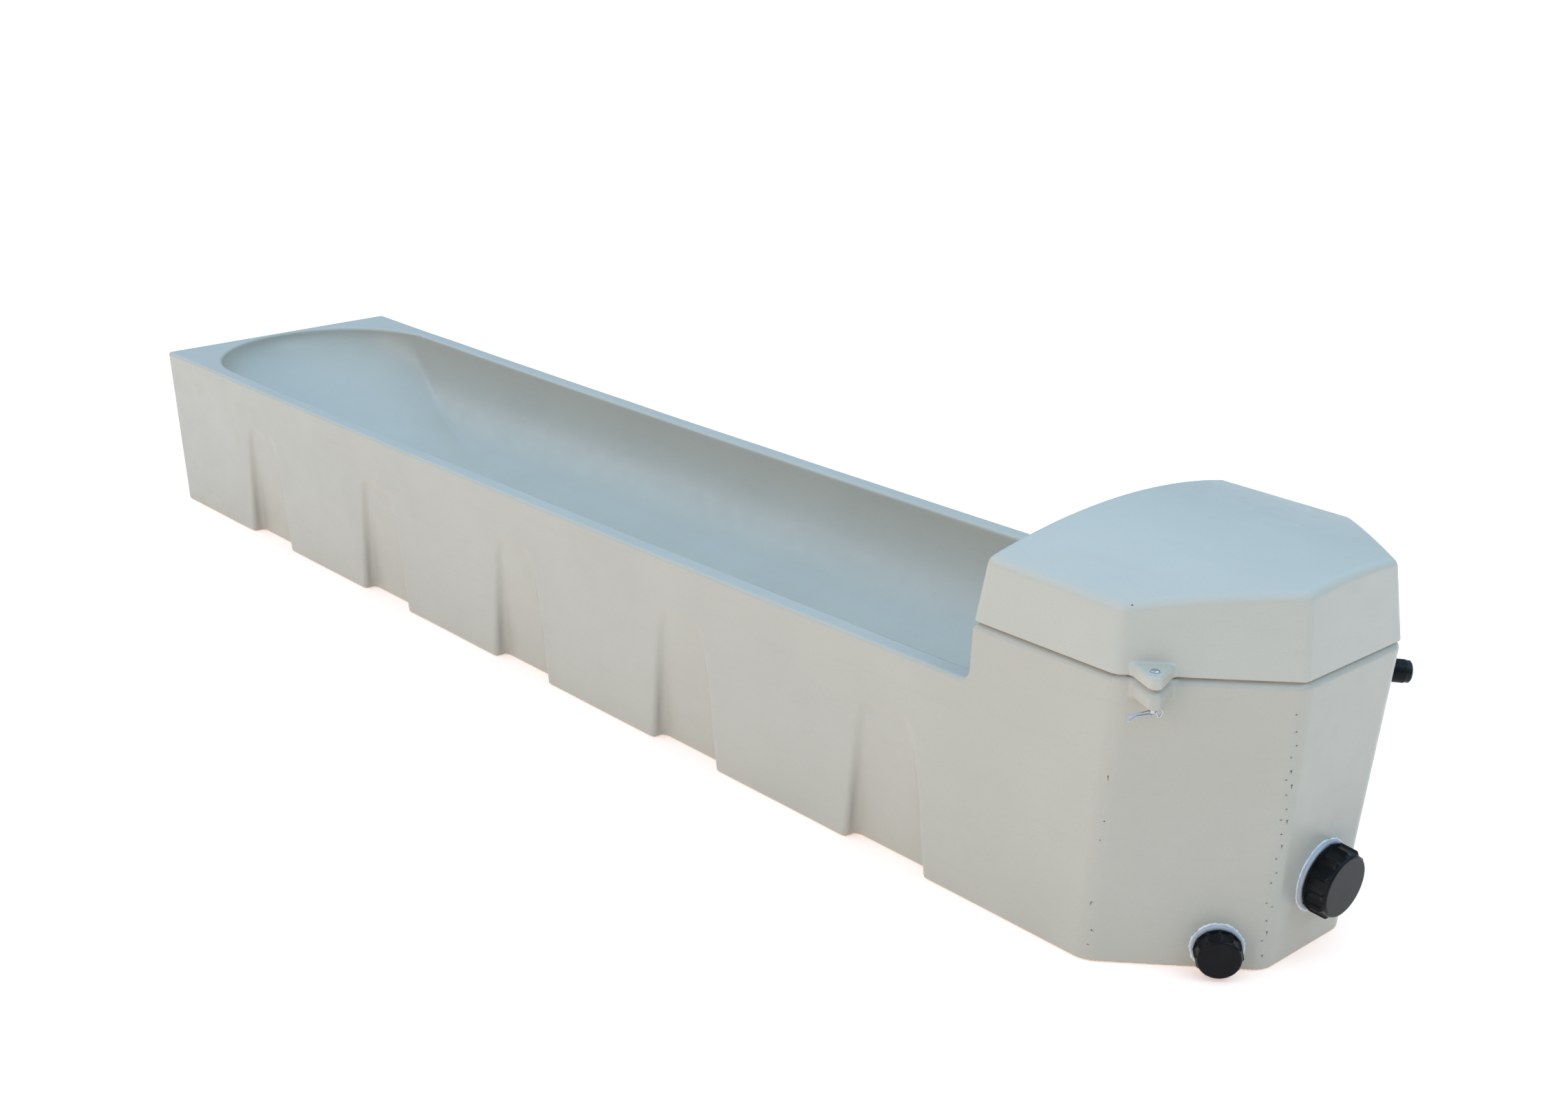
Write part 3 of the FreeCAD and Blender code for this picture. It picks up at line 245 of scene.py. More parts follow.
def channel_form(x, y, z):
    """The five hollows on the outside of a long wall, one form repeated."""
    number = np.clip(np.round((x - CHANNEL_FIRST) / CHANNEL_PITCH), 0, CHANNELS - 1)
    across = x - (CHANNEL_FIRST + number * CHANNEL_PITCH)
    wall = side_wall(x, y, z)
    depth = CHANNEL_DEPTH * (1 - z / CHANNEL_TOP)
    left = -0.086 + 0.039 * z / CHANNEL_TOP - across
    right = across - (0.085 - 0.023 * z / CHANNEL_TOP)
    plan = meet(meet(left, right, 0.010), z - CHANNEL_TOP, 0.022)
    return meet(plan, -wall - depth, 0.012)


def basin_form(x, y, z):
    """The drinking basin: upright walls rounding down to a narrow floor, and a ramped round end."""
    fall = RIM - BASIN_FLOOR
    down = np.maximum((RIM - z) / fall, 0)
    across = np.minimum(y, 0.998 * SCOOP_RADIUS)
    bulge = np.sqrt(SCOOP_RADIUS ** 2 - across ** 2)
    run = 1 - (x - SCOOP_RADIUS + bulge - BASIN_TIP) / BASIN_RAMP
    ahead = np.maximum(run, 0)
    swing = ahead / BASIN_RAMP
    steep = np.sqrt(swing ** 2 * (1 + (across / bulge) ** 2) + (down / fall) ** 2)
    reach = np.hypot(ahead, down)
    ramp = (reach - 1) * reach / np.maximum(steep, 0.01)
    floor = BASIN_FLOOR - z
    side = meet(basin_side(x, y, z), floor, BASIN_FLOOR_RADIUS)
    near = meet(basin_near(x, y, z), floor, BASIN_FLOOR_RADIUS)
    return meet(meet(side, near, 0.030), ramp, 0.005)


def waves(x, z):
    """The slight unevenness of a large cooled moulding."""
    long_wave = np.sin(9.1 * x + 2.0 * z + 0.6) * np.cos(7.0 * z - 3.1 * x)
    return WAVE_DEPTH * (long_wave + 0.6 * np.sin(17.3 * x - 6.0 * z + 1.9))


def body_form(x, y, z):
    """The whole moulded body, without its sealed air space."""
    true_y, y = y, np.abs(y)
    low = sagged(x, z)
    side = side_wall(x, y, z) + waves(x, z)
    nose = meet(meet(side, chamfer_wall(x, y, z), WALL_CORNER), end_wall(x, y, z), WALL_CORNER)
    plan = meet(nose, far_wall(x, y, z), 0.010)
    riser = (NOTCH_RUN * (z - RIM) - (SHOULDER - RIM) * (x - BOX_LEFT + NOTCH_RUN))
    riser = riser / math.hypot(NOTCH_RUN, SHOULDER - RIM)
    left = BOX_LEFT - x
    top = join(low - RIM, np.minimum(riser, left), 0.016)
    hull = meet(meet(plan, top, 0.006), z - SHOULDER - 0.03, 0.001)

    # The shoulder under the lid rises inwards, round the lugs as well.
    ring = meet(nose, left, 0.004)
    lug = lug_plan(x, y)
    outline = join(ring, lug, 0.008)
    bevel = (SHOULDER_RISE * outline + SHOULDER_INSET * (z - SHOULDER))
    bevel = bevel / math.hypot(SHOULDER_RISE, SHOULDER_INSET)
    bevel = np.maximum(bevel, z - SHOULDER - SHOULDER_RISE)
    body_lug = meet(lug, 0.435 - z, 0.005)
    solid = meet(join(hull, body_lug, 0.004), np.minimum(bevel, z - SHOULDER), 0.003)
    upstand = np.maximum(ring + UPSTAND_INSET, np.maximum(z - UPSTAND_TOP, SHOULDER - z))
    solid = join(solid, upstand, 0.002)
    throat = np.maximum(ring + UPSTAND_INSET + UPSTAND_THICK, SUMP_TOP - z)
    solid = carve(solid, throat, 0.002)
    sump = meet(ring + SKIN, PARTITION - x, 0.006)
    sump = np.maximum(meet(sump, SUMP_FLOOR - z, 0.012), z - SUMP_TOP - 0.002)
    solid = carve(solid, sump, 0.003)
    solid = carve(solid, basin_form(x, y, low), 0.006)
    solid = carve(solid, channel_form(x, y, z), 0.009)
    solid = carve(solid, flow_slot(x, y, z), 0.004)
    solid = carve(solid, pin_bore(x, y), FINE_EDGE)
    for place, radius in WALL_BORES:
        across, rising, out = local(place, x, true_y, z)
        bore = np.maximum(np.hypot(across, rising) - radius, np.abs(out) - 4 * SKIN)
        solid = carve(solid, bore, FINE_EDGE)
    return meet(solid, -z, 0.004)


def flow_slot(x, y, z):
    """The low opening through which the basin fills from the valve chamber."""
    level = FLOW_SILL + FLOW_HEIGHT / 2
    across = meet(np.abs(y) - 0.120, np.abs(z - level) - FLOW_HEIGHT / 2, 0.010)
    start = 1.050 - BASIN_FLOOR_RADIUS
    middle = (start + PARTITION + 0.010) / 2
    return meet(across, np.abs(x - middle) - (PARTITION + 0.010 - start) / 2, 0.001)


def pin_bore(x, y):
    centre, outward = latch_place(1)
    spot = centre + outward * PIN_AHEAD
    return np.hypot(x - spot.x, y - spot.y) - PIN_BORE


def lid_walls(x, y, z, inset=0.0):
    nose = meet(lid_side(x, y, z), lid_chamfer(x, y, z), 0.007)
    nose = meet(nose, lid_end(x, y, z), 0.005)
    return meet(nose, lid_left(x, y, z), 0.010) + inset


def crown(x, y, z):
    centre = CROWN_TOP - CROWN_RADIUS - CROWN_FALL * (x - CROWN_FROM)
    return np.hypot(y, z - centre) - CROWN_RADIUS


def lid_form(x, y, z):
    y = np.abs(y)
    walls = lid_walls(x, y, z)
    roof = crown(x, y, z)
    lug = meet(lug_plan(x, y), z - LID_BOTTOM - 0.0185, 0.005)
    solid = join(meet(walls, roof, 0.012), lug, 0.004)
    solid = carve(solid, np.maximum(pin_bore(x, y), z - LID_BOTTOM - 0.030), FINE_EDGE)
    solid = meet(solid, LID_BOTTOM - z, 0.002)
    skirt = np.maximum(walls + LID_SKIN, z - UPSTAND_TOP)
    ledge = np.maximum(walls + LEDGE_INSET, z - UPSTAND_TOP - 0.012)
    dome = np.maximum(meet(walls + LID_SKIN, roof + LID_SKIN, 0.008), UPSTAND_TOP + 0.008 - z)
    room = np.minimum(np.minimum(skirt, ledge), dome)
    return carve(solid, room, 0.0015)


# --- from distance function to mesh -------------------------------------------------

def spaced(*stops):
    """Grid lines between (place, step) stops; a step holds up to the next stop."""
    lines = []
    for (start, step), (stop, _) in zip(stops, stops[1:]):
        count = max(1, round((stop - start) / step))
        lines.extend(start + (stop - start) * number / count for number in range(count))
    lines.append(stops[-1][0])
    return np.array(lines)


def surface(form, xs, ys, zs):
    """Points and four-sided faces where a form's distance is zero, one point per grid cell."""
    grid = form(xs[:, None, None], ys[None, :, None], zs[None, None, :])
    inside = grid < 0
    count = np.zeros([size - 1 for size in grid.shape], np.int8)
    corners = [(a, b, c) for a in (0, 1) for b in (0, 1) for c in (0, 1)]
    spans = [(slice(0, -1), slice(1, None))[bit] for bit in (0, 1)]
    for a, b, c in corners:
        count += inside[spans[a], spans[b], spans[c]]
    cells = np.argwhere((count > 0) & (count < 8))
    index = np.full(count.shape, -1, np.int32)
    index[tuple(cells.T)] = np.arange(len(cells))
    value = {corner: grid[tuple((cells + corner).T)] for corner in corners}
    total = np.zeros((len(cells), 3))
    hits = np.zeros(len(cells))
    for start in corners:
        for axis in range(3):
            if start[axis]:
                continue
            stop = tuple(1 if axis == other else start[other] for other in range(3))
            crosses = (value[start] < 0) != (value[stop] < 0)
            rise = value[start] - value[stop]
            share = np.where(crosses, value[start] / np.where(rise == 0, 1, rise), 0)
            point = np.tile(np.array(start, float), (len(cells), 1))
            point[:, axis] = share
            total += point * crosses[:, None]
            hits += crosses
    inner = total / hits[:, None]
    points = np.empty_like(inner)
    for axis, lines in enumerate((xs, ys, zs)):
        first = lines[cells[:, axis]]
        points[:, axis] = first + inner[:, axis] * (lines[cells[:, axis] + 1] - first)
    faces = []
    for axis in range(3):
        near, far = [slice(None)] * 3, [slice(None)] * 3
        near[axis], far[axis] = slice(0, -1), slice(1, None)
        starts = inside[tuple(near)]
        stops = inside[tuple(far)]
        edges = np.argwhere(starts != stops)
        side_a, side_b = [other for other in range(3) if other != axis]
        limits = np.array(grid.shape) - 1
        fits = (edges[:, side_a] > 0) & (edges[:, side_b] > 0)
        fits &= (edges[:, side_a] < limits[side_a]) & (edges[:, side_b] < limits[side_b])
        edges = edges[fits]
        ring = []
        for a, b in ((0, 0), (1, 0), (1, 1), (0, 1)):
            cell = edges.copy()
            cell[:, side_a] -= a
            cell[:, side_b] -= b
            ring.append(index[tuple(cell.T)])
        ring = np.stack(ring, 1)
        leaves = starts[tuple(edges.T)] ^ (axis == 1)
        ring[~leaves] = ring[~leaves][:, ::-1]
        faces.append(ring)
    return points, np.concatenate(faces)


def slopes(form, points, step=0.0004):
    """Direction in which a form's distance grows, and the distance, at each point."""
    x, y, z = points.T
    grow = np.empty_like(points)
    for axis, (dx, dy, dz) in enumerate(np.eye(3) * step):
        grow[:, axis] = form(x + dx, y + dy, z + dz) - form(x - dx, y - dy, z - dz)
    return grow / (2 * step), form(x, y, z)


def settle(form, points, reach, rounds=4):
    """Moves points on to the exact surface."""
    for _ in range(rounds):
        grow, value = slopes(form, points)
        strength = np.maximum((grow ** 2).sum(1), 0.2)
        shift = grow * (value / strength)[:, None]
        length = np.linalg.norm(shift, axis=1)
        shift *= np.minimum(1, reach / np.maximum(length, 1e-9))[:, None]
        points = points - shift
    return points


def mesh_object(name, points, faces):
    mesh = bpy.data.meshes.new(name)
    mesh.from_pydata(points, [], faces)
    mesh.polygons.foreach_set("use_smooth", [True] * len(mesh.polygons))
    piece = bpy.data.objects.new(name, mesh)
    scene.collection.objects.link(piece)
    return piece


def applied(piece):
    """Fixes a piece's modifiers into its mesh."""
    graph = bpy.context.evaluated_depsgraph_get()
    mesh = bpy.data.meshes.new_from_object(piece.evaluated_get(graph))
    piece.modifiers.clear()
    piece.data = mesh
    return piece


def moulded(name, form, lines, triangles):
    """A smooth moulded piece: fine mesh, thinned where it is flat, shaded by the form itself."""
    points, faces = surface(form, *lines)
    points = settle(form, points, 0.004)
    piece = mesh_object(name, points.tolist(), faces.tolist())
    full = 2 * len(faces)
    if full > triangles:
        thin = piece.modifiers.new("thin", "DECIMATE")
        thin.ratio = triangles / full
        applied(piece)
    tidy_slivers(piece.data, form)
    shade_by(form, piece.data)
    print(name, "faces", len(piece.data.polygons), "of", len(faces))
    return piece


def poor_faces(work, form):
    """Faces that stand away from the form's own direction."""
    work.normal_update()
    work.verts.index_update()
    middles = np.array([face.calc_center_median() for face in work.faces])
    normals = np.array([face.normal for face in work.faces])
    grow, _ = slopes(form, middles)
    grow /= np.maximum(np.linalg.norm(grow, axis=1), 1e-6)[:, None]
    poor = np.flatnonzero((grow * normals).sum(1) < POOR_FACE)
    work.faces.ensure_lookup_table()
    return [work.faces[number] for number in poor]


def tidy_slivers(mesh, form):
    """Closes up the thin folded faces that thinning leaves on tight edges."""
    work = bmesh.new()
    work.from_mesh(mesh)
    bmesh.ops.triangulate(work, faces=work.faces)
    for reach in SLIVER_MERGES:
        faces = poor_faces(work, form)
        corners = list({corner.index: corner for face in faces for corner in face.verts}.values())
        bmesh.ops.remove_doubles(work, verts=corners, dist=reach)
    bmesh.ops.dissolve_degenerate(work, edges=work.edges, dist=1e-5)
    turned, edges = set(), []
    for face in poor_faces(work, form):
        longest = max(face.edges, key=lambda edge: edge.calc_length())
        if len(longest.link_faces) == 2 and not turned & set(longest.link_faces):
            turned.update(longest.link_faces)
            edges.append(longest)
    bmesh.ops.rotate_edges(work, edges=edges, use_ccw=False)
    print(mesh.name, "poor faces left", len(poor_faces(work, form)))
    work.to_mesh(mesh)
    work.free()


def shade_by(form, mesh):
    """Puts a mesh's points on the form's surface and shades them by its direction."""
    points = np.empty(len(mesh.vertices) * 3)
    mesh.vertices.foreach_get("co", points)
    points = settle(form, points.reshape(-1, 3), 0.002, 2)
    mesh.vertices.foreach_set("co", points.ravel())
    grow, _ = slopes(form, points)
    grow /= np.maximum(np.linalg.norm(grow, axis=1), 1e-6)[:, None]
    mesh.polygons.foreach_set("use_smooth", [True] * len(mesh.polygons))
    mesh.normals_split_custom_set_from_vertices(grow.tolist())
    mesh.update()


# --- materials ------------------------------------------------------------------------

class Finish:
    """A procedural material: mottled colour, uneven gloss and a fine surface, laid out in metres."""

    def __init__(self, name, **sockets):
        self.material = bpy.data.materials.new(name)
        self.material.use_nodes = True
        self.tree = self.material.node_tree
        self.shader = self.tree.nodes["Principled BSDF"]
        for key, value in sockets.items():
            label = key.replace("_", " ").title().replace("Ior", "IOR")
            self.shader.inputs[label].default_value = value
        self.place = self.tree.nodes.new("ShaderNodeTexCoord").outputs["Object"]

    def node(self, kind, **settings):
        item = self.tree.nodes.new(kind)
        for key, value in settings.items():
            setattr(item, key, value)
        return item

    def link(self, source, target):
        self.tree.links.new(source, target)

    def stretched(self, scale):
        mapping = self.node("ShaderNodeMapping")
        mapping.inputs["Scale"].default_value = scale
        self.link(self.place, mapping.inputs["Vector"])
        return mapping.outputs["Vector"]

    def noise(self, scale, detail=4.0, place=None):
        item = self.node("ShaderNodeTexNoise")
        item.inputs["Scale"].default_value = scale
        item.inputs["Detail"].default_value = detail
        self.link(place or self.place, item.inputs["Vector"])
        return item.outputs["Fac"]

    def ramp(self, source, *stops):
        """Colours from (position, colour) stops."""
        item = self.node("ShaderNodeValToRGB")
        points = item.color_ramp.elements
        while len(points) < len(stops):
            points.new(0.5)
        for point, (position, color) in zip(points, stops):
            point.position = position
            point.color = (*color, 1)
        self.link(source, item.inputs["Fac"])
        return item.outputs["Color"]

    def spread(self, source, low, high, to_low, to_high):
        """A source's range stretched to another range."""
        item = self.node("ShaderNodeMapRange")
        for label, value in (("From Min", low), ("From Max", high), ("To Min", to_low), ("To Max", to_high)):
            item.inputs[label].default_value = value
        self.link(source, item.inputs["Value"])
        return item.outputs["Result"]

    def blended(self, kind, first, second):
        """A mix node of two colours, with its factor left to the caller, and its result."""
        item = self.node("ShaderNodeMix", data_type="RGBA", blend_type=kind)
        colors = [socket for socket in item.inputs if socket.type == "RGBA"]
        self.link(first, colors[0])
        self.link(second, colors[1])
        return item.inputs["Factor"], next(socket for socket in item.outputs if socket.type == "RGBA")

    def mix(self, factor, first, second):
        share, result = self.blended("MIX", first, second)
        self.link(factor, share)
        return result

    def multiply(self, first, second):
        share, result = self.blended("MULTIPLY", first, second)
        share.default_value = 1.0
        return result

    def height(self):
        item = self.node("ShaderNodeSeparateXYZ")
        self.link(self.place, item.inputs[0])
        return item.outputs["Z"]

    def color(self, source):
        self.link(source, self.shader.inputs["Base Color"])
        return self

    def gloss(self, scale, low, high):
        self.link(self.spread(self.noise(scale), 0.35, 0.65, low, high), self.shader.inputs["Roughness"])
        return self

    def relief(self, scale, depth, detail=3.0):
        bump = self.node("ShaderNodeBump")
        bump.inputs["Strength"].default_value = 1.0
        bump.inputs["Distance"].default_value = depth
        self.link(self.noise(scale, detail), bump.inputs["Height"])
        self.link(bump.outputs["Normal"], self.shader.inputs["Normal"])
        return self


def shade(color, factor):
    return tuple(part * factor for part in color)


def simple_finish(name, color, roughness, scale=60, contrast=0.12, depth=0.00004, **sockets):
    """An even material whose colour, gloss and surface vary slightly."""
    finish = Finish(name, **sockets)
    mottled = finish.ramp(finish.noise(scale), (0.35, shade(color, 1 - contrast)),
                          (0.65, shade(color, 1 + contrast)))
    finish.color(mottled).gloss(scale * 0.6, roughness * 0.85, roughness * 1.15).relief(scale * 12, depth)
    return finish.material


def moulding_finish(name, high, low, roughness):
    """Matt moulded polyethylene with specks and rubbed streaks; lighter and warmer above, its cooler, darker
    tone near the ground being painted shade.
    """
    finish = Finish(name)
    cloud = finish.noise(5.0, 5.0)
    above = finish.ramp(cloud, (0.38, shade(high, 0.985)), (0.62, shade(high, 1.015)))
    # Painted shade: the cooler, darker sand near the ground stands in for the shade low on the walls.
    shaded_below = finish.ramp(cloud, (0.38, shade(low, 0.98)), (0.62, shade(low, 1.02)))
    rise = finish.spread(finish.height(), 0.0, 0.42, 0.0, 1.0)
    # Blends from the painted-shade colour at the ground up to the sand colour higher up.
    base = finish.mix(rise, shaded_below, above)
    speck = finish.ramp(finish.noise(420, 2.0), (0.30, (0.93, 0.93, 0.93)), (0.40, (1, 1, 1)),
                        (0.70, (1, 1, 1)), (0.80, (1.06, 1.06, 1.06)))
    streak = finish.noise(26, 6.0, finish.stretched((0.16, 0.5, 2.4)))
    rubbed = finish.ramp(streak, (0.26, (0.975, 0.975, 0.975)), (0.42, (1, 1, 1)), (0.68, (1, 1, 1)),
                         (0.84, (1.02, 1.02, 1.025)))
    finish.color(finish.multiply(finish.multiply(base, speck), rubbed))
    finish.gloss(30, roughness - 0.05, roughness + 0.07).relief(700, 0.00005, 4.0)
    return finish.material


SAND_HIGH = (0.450, 0.405, 0.330)
# The low sand colour is painted shade: darker and cooler than the upper sand, for the walls' shade near the
# ground.
SAND_LOW_SHADED = (0.415, 0.390, 0.325)
# Painted light: the lid's sand is the body's plastic made lighter, standing in for the stronger light falling
# on the lid.
LID_SAND_LIT = (0.488, 0.444, 0.362)

body_material = moulding_finish("sandstone_plastic", SAND_HIGH, SAND_LOW_SHADED, 0.34)
# The lid material is a lighter copy of the body plastic; its extra lightness is painted light.
lid_material = moulding_finish("sandstone_lid_plastic_painted_lighter", LID_SAND_LIT, LID_SAND_LIT, 0.34)
cap_material = simple_finish("black_cap_plastic", (0.0035, 0.0038, 0.0045), 0.24, 45, 0.3, 0.00003,
                             specular_ior_level=0.14)
valve_material = simple_finish("black_valve_plastic", (0.004, 0.004, 0.005), 0.30, 50, 0.3, 0.00003,
                               specular_ior_level=0.25)
rubber_material = simple_finish("black_rubber", (0.018, 0.018, 0.018), 0.62, 80, 0.25, 0.00006)
white_material = simple_finish("pale_outlet_plastic", (0.43, 0.44, 0.47), 0.40, 40, 0.08)
sealant_material = simple_finish("whitish_sealant", (0.62, 0.62, 0.60), 0.55, 90, 0.12, 0.0002)
zinc_material = simple_finish("zinc_plated_steel", (0.50, 0.51, 0.54), 0.28, 110, 0.14, 0.00003, metallic=1.0)
wire_material = simple_finish("bright_spring_wire", (0.46, 0.48, 0.52), 0.22, 160, 0.12, 0.00002,
                              metallic=1.0)
brass_material = simple_finish("valve_brass", (0.62, 0.42, 0.16), 0.34, 70, 0.16, 0.00004, metallic=1.0)
float_material = simple_finish("orange_float_plastic", (0.80, 0.22, 0.03), 0.38, 30, 0.10, 0.00004)

# --- pieces -----------------------------------------------------------------------------

BODY_LINES = (
    spaced((-1.545, 0.004), (-1.50, 0.008), (1.0, 0.006), (1.03, 0.0035), (1.10, 0.005), (1.33, 0.0035),
           (1.41, 0.0042), (1.535, 0)),
    spaced((-0.315, 0.0035), (-0.235, 0.0042), (-0.08, 0.008), (0.08, 0.0042), (0.235, 0.0035), (0.315, 0)),
    spaced((-0.012, 0.004), (0.016, 0.008), (0.344, 0.0035), (0.380, 0.007), (0.428, 0.0032), (0.490, 0)),
)
LID_LINES = (
    spaced((1.065, 0.003), (1.110, 0.006), (1.33, 0.0034), (1.535, 0)),
    spaced((-0.312, 0.0032), (-0.090, 0.006), (0.090, 0.0032), (0.312, 0)),
    spaced((0.455, 0.0028), (0.500, 0.004), (0.565, 0.003), (0.610, 0)),
)

def dressed(piece, material, body_name, node_name):
    """Gives a piece its material and ties it to the part it stands for."""
    piece.data.materials.clear()
    piece.data.materials.append(material)
    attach(piece, body_name)
    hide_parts(node_name)


body = moulded("moulded_body", body_form, BODY_LINES, BODY_TRIANGLES)
dressed(body, body_material, "trough", "trough_body")
lid = moulded("moulded_lid", lid_form, LID_LINES, LID_TRIANGLES)
dressed(lid, lid_material, "lid", "service_lid")


def cap_form(size):
    """A ribbed screw cap along +Z, standing on its wall at Z = 0."""
    low = GASKET + FLANGE_THICK + CAP_GAP
    inner = size["thread"] + BORE_PLAY
    valley = max(size["cap"] - CAP_FLUTE, inner + CAP_LEAST_WALL)
    roof = size["neck"] + CAP_SEAL

    def form(x, y, z):
        around = np.hypot(x, y)
        turn = np.arctan2(y, x) * CAP_RIBS / (2 * math.pi)
        beside = 2 * np.abs(turn - np.round(turn))
        fade = np.clip((size["top"] - CAP_SHOULDER - z) / CAP_NOSE, 0, 1)
        rib = np.maximum((1 - beside) ** 3, np.clip((RIB_RIDGE - beside) / 0.05, 0, 1) * 0.8)
        stand = (size["rib"] + RIB_EXTRA - valley) * rib * fade * (2 - fade)
        taper = CAP_TAPER * (z - low) / (size["top"] - low)
        wall = (around - valley - stand + taper) * 0.93
        wall = np.minimum(wall, np.maximum(around - size["cap"] - CAP_SKIRT_OUT, z - low - CAP_SKIRT_HIGH))
        solid = meet(meet(wall, z - size["top"], CAP_SHOULDER), low - z, 0.0008)
        return carve(solid, np.maximum(around - inner, z - roof), 0.0005)

    return form


def bead_form(size, seed):
    """Sealant squeezed out unevenly round a flange, along +Z from the wall."""

    def form(x, y, z):
        around = np.hypot(x, y)
        turn = np.arctan2(y, x)
        ragged = np.sin(3 * turn + seed) + 0.8 * np.sin(7 * turn + 2.1 * seed)
        ragged = ragged + 0.6 * np.sin(13 * turn - seed)
        width = BEAD_WIDTH + BEAD_RAGGED * ragged + BEAD_FINE * np.sin(29 * turn + 3 * seed)
        bead = (np.hypot(around - size["flange"] - width, 0.8 * z) - width) * 0.9
        layer = np.maximum(around - size["flange"] - width, z - GASKET + LAYER_GAP)
        solid = np.maximum(join(bead, layer, 0.0003), size["thread"] + BORE_PLAY - around)
        return np.maximum(solid, LAYER_GAP - z)

    return form


def stood(piece, place):
    """Carries a piece drawn along +Z to its place on the wall."""
    spot, axes = place
    matrix = Matrix.Identity(4)
    for column, way in enumerate((*axes, spot)):
        for row in range(3):
            matrix[row][column] = way[row]
    piece.data.transform(matrix)
    return piece


def box_lines(reach, low, high, step):
    """Even grid lines for a round piece drawn along +Z."""
    across = spaced((-reach, step), (reach, 0))
    return across, across, spaced((low, step), (high, 0))


for label, size, place, body_name, seed in (("main_outlet", MAIN, MAIN_PLACE, "main_cap", 0.7),
                                            ("drain", DRAIN, DRAIN_PLACE, "drain_cap_turning", 2.9)):
    lines = box_lines(size["rib"] + 0.002, 0.005, size["top"] + 0.002, CAP_STEP)
    cap = stood(moulded(f"moulded_{label}_cap", cap_form(size), lines, CAP_TRIANGLES), place)
    dressed(cap, cap_material, body_name, f"{label}_cap")
    lines = box_lines(size["flange"] + 0.008, -0.001, 0.008, SEALANT_STEP)
    bead = stood(moulded(f"{label}_sealant", bead_form(size, seed), lines, SEALANT_TRIANGLES), place)
    dressed(bead, sealant_material, "trough", f"{label}_gasket")


def inlet_thread():
    """The screw thread on the inlet tail, one ridge wound round the tail."""
    spot, axes = INLET_PLACE
    first, last = INLET_THREAD
    steps = round((last - first) / THREAD_PITCH * THREAD_STEPS)
    points, faces = [], []
    for step in range(steps + 1):
        turn = 2 * math.pi * step / THREAD_STEPS
        run = min(step, steps - step) / THREAD_STEPS
        height = THREAD_HEIGHT * min(1, 3 * run)
        out = first + (last - first) * step / steps
        for radius, shift in ((INLET_RADIUS - THREAD_ROOT, -0.40), (INLET_RADIUS + height, -0.10),
                              (INLET_RADIUS + height, 0.10), (INLET_RADIUS - THREAD_ROOT, 0.40)):
            flat = axes[0] * math.cos(turn) + axes[1] * math.sin(turn)
            points.append(spot + flat * radius + axes[2] * (out + shift * THREAD_PITCH))
    for step in range(steps):
        start = 4 * step
        for side in range(4):
            beside = (side + 1) % 4
            faces.append((start + side, start + beside, start + 4 + beside, start + 4 + side))
    faces += [(3, 2, 1, 0), tuple(4 * steps + side for side in range(4))]
    return mesh_object("inlet_thread", [point.tolist() for point in points], faces)


thread = inlet_thread()
thread.data.materials.append(valve_material)
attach(thread, "trough")

NODE_FINISH = {
    "spigot": (white_material, 0.0008), "backnut": (cap_material, 0.0006), "seal": (rubber_material, 0.0003),
    "washer": (rubber_material, 0.0003), "float_valve_body": (valve_material, 0.0005),
    "lock_nut": (valve_material, 0.0006), "valve_seat": (white_material, 0.0003),
    "latch_pin": (zinc_material, 0.0008), "spring_clip": (wire_material, 0),
    "lever_pivot_pin": (zinc_material, 0.0004),
    "piston": (brass_material, 0.0003), "float_lever": (brass_material, 0.0006),
    "rod_nuts": (brass_material, 0.0004),
    "float_rod": (zinc_material, 0.0003), "float_ball": (float_material, 0),
}

for name, node in nodes.items():
    material, edge = next((NODE_FINISH[key] for key in NODE_FINISH if key in name), (body_material, 0))
    node.data.materials.clear()
    node.data.materials.append(material)
    if edge and name != "piston_washer":
        bevel = node.modifiers.new("edge", "BEVEL")
        bevel.width = edge
        bevel.segments = 3
        bevel.limit_method = "ANGLE"
        bevel.angle_limit = math.radians(40)
        bevel.use_clamp_overlap = True
        bevel.harden_normals = True

# --- floor, light and camera --------------------------------------------------------------

scene.view_settings.view_transform = "Standard"

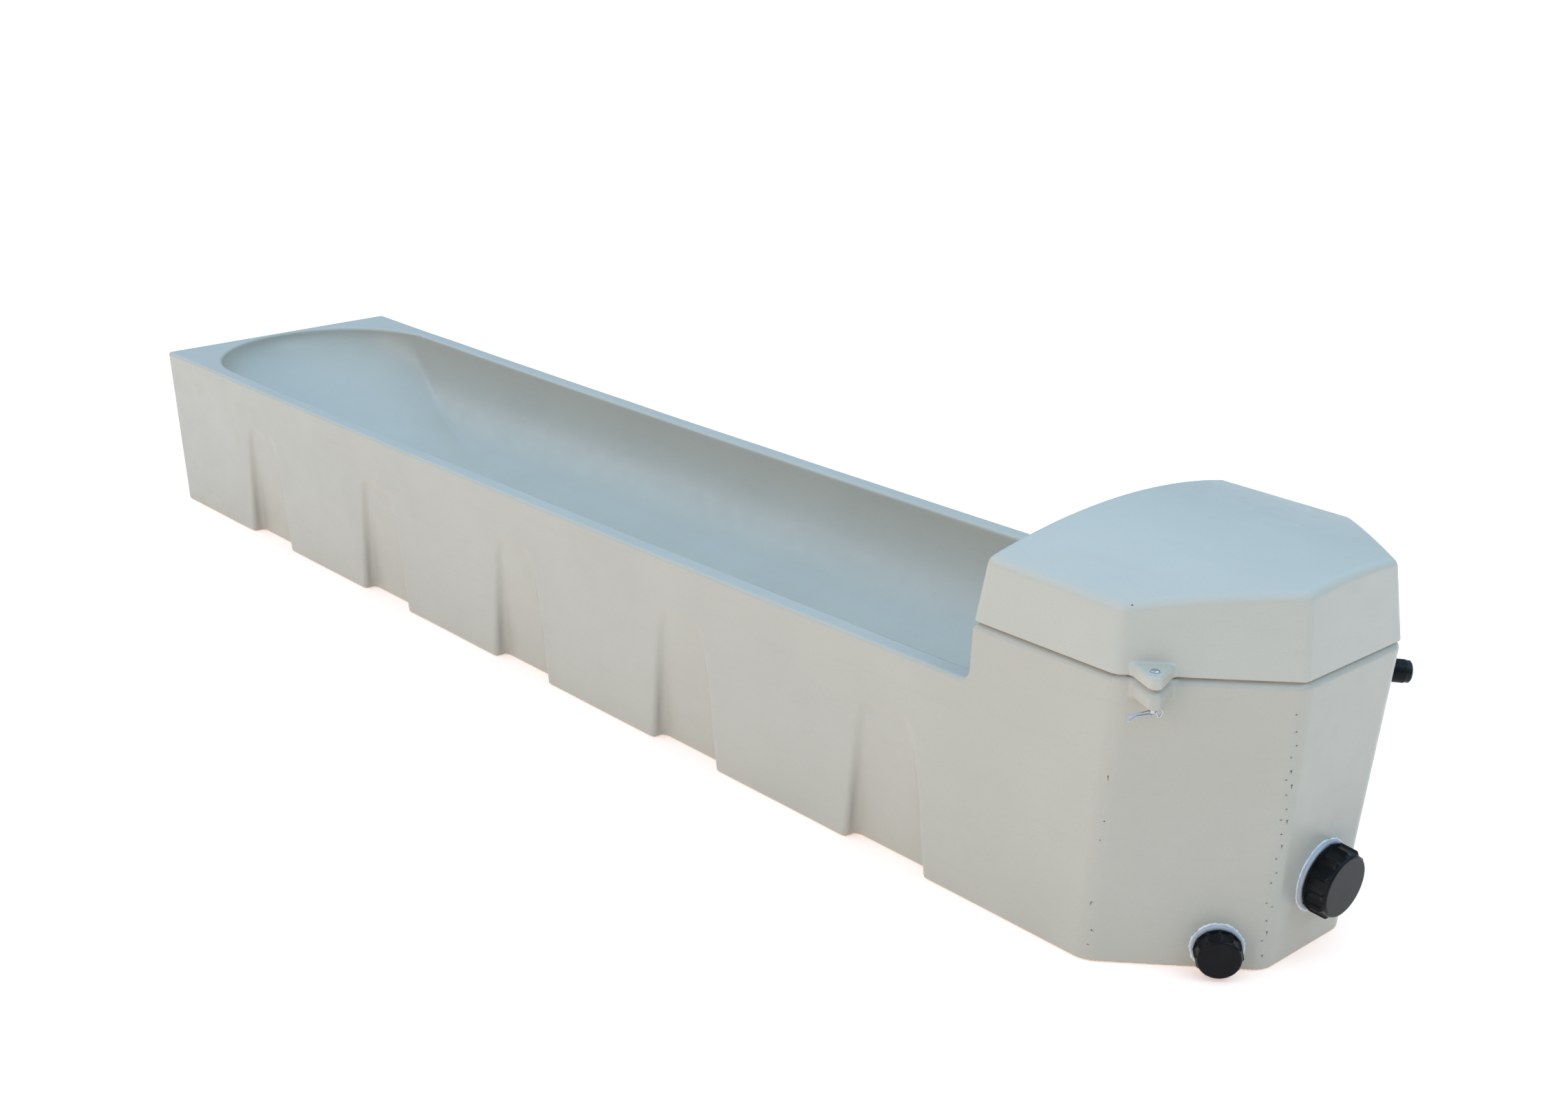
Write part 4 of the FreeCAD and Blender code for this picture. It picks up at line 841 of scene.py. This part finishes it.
floor_mesh = bpy.data.meshes.new("floor")
reach = 90.0
floor_mesh.from_pydata([(-reach, -reach, 0), (reach, -reach, 0), (reach, reach, 0), (-reach, reach, 0)],
                       [], [(0, 1, 2, 3)])
floor = bpy.data.objects.new("floor", floor_mesh)
scene.collection.objects.link(floor)
floor.location.z = -0.0005
floor_finish = Finish("floor_paint", roughness=0.9, emission_color=(1.0, 0.80, 0.72, 1),
                      emission_strength=0.50)
floor_color = floor_finish.ramp(floor_finish.noise(1.5), (0.3, (0.80, 0.70, 0.60)), (0.7, (0.82, 0.72, 0.62)))
floor_finish.color(floor_color)
floor_mesh.materials.append(floor_finish.material)


def studio_world(zenith, horizon, strength):
    """A soft dome of light: cooler from above than from the sides."""
    world = bpy.data.worlds.new("studio")
    world.use_nodes = True
    tree = world.node_tree
    background = tree.nodes["Background"]
    background.inputs["Strength"].default_value = strength
    place = tree.nodes.new("ShaderNodeTexCoord")
    split = tree.nodes.new("ShaderNodeSeparateXYZ")
    ramp = tree.nodes.new("ShaderNodeValToRGB")
    ramp.color_ramp.elements[0].color = (*horizon, 1)
    ramp.color_ramp.elements[1].color = (*zenith, 1)
    ramp.color_ramp.elements[1].position = 0.8
    tree.links.new(place.outputs["Generated"], split.inputs[0])
    tree.links.new(split.outputs["Z"], ramp.inputs[0])
    tree.links.new(ramp.outputs[0], background.inputs["Color"])
    scene.world = world


studio_world((0.78, 1.22, 1.74), (0.11, 0.13, 0.14), 1.0)


def soft_sun(name, toward, spread, strength, color):
    """A broad, even lamp shining from the given direction."""
    lamp = bpy.data.lights.new(name, "SUN")
    lamp.angle = math.radians(spread)
    lamp.energy = strength
    lamp.color = color
    item = bpy.data.objects.new(name, lamp)
    item.rotation_euler = Vector(toward).to_track_quat("Z", "Y").to_euler()
    scene.collection.objects.link(item)


soft_sun("front_light", (-0.15, -1.0, 0.36), 50, 0.90, (1.0, 0.82, 0.66))
soft_sun("edge_light", (-0.75, -0.40, 0.50), 30, 0.25, (1.0, 1.0, 1.0))
soft_sun("high_light", (0.60, 0.30, 0.74), 40, 0.55, (0.82, 0.95, 1.0))

camera_data = bpy.data.cameras.new("camera")
camera_data.lens = 45.13
camera_data.sensor_width = 36.0
camera_data.shift_x = 0.0210
camera_data.shift_y = -0.0127
camera = bpy.data.objects.new("camera", camera_data)
camera.location = (2.8477, -2.2416, 1.5210)
camera.rotation_euler = Vector((-0.71159, 0.61767, -0.33484)).to_track_quat("-Z", "Y").to_euler()
scene.collection.objects.link(camera)
scene.camera = camera
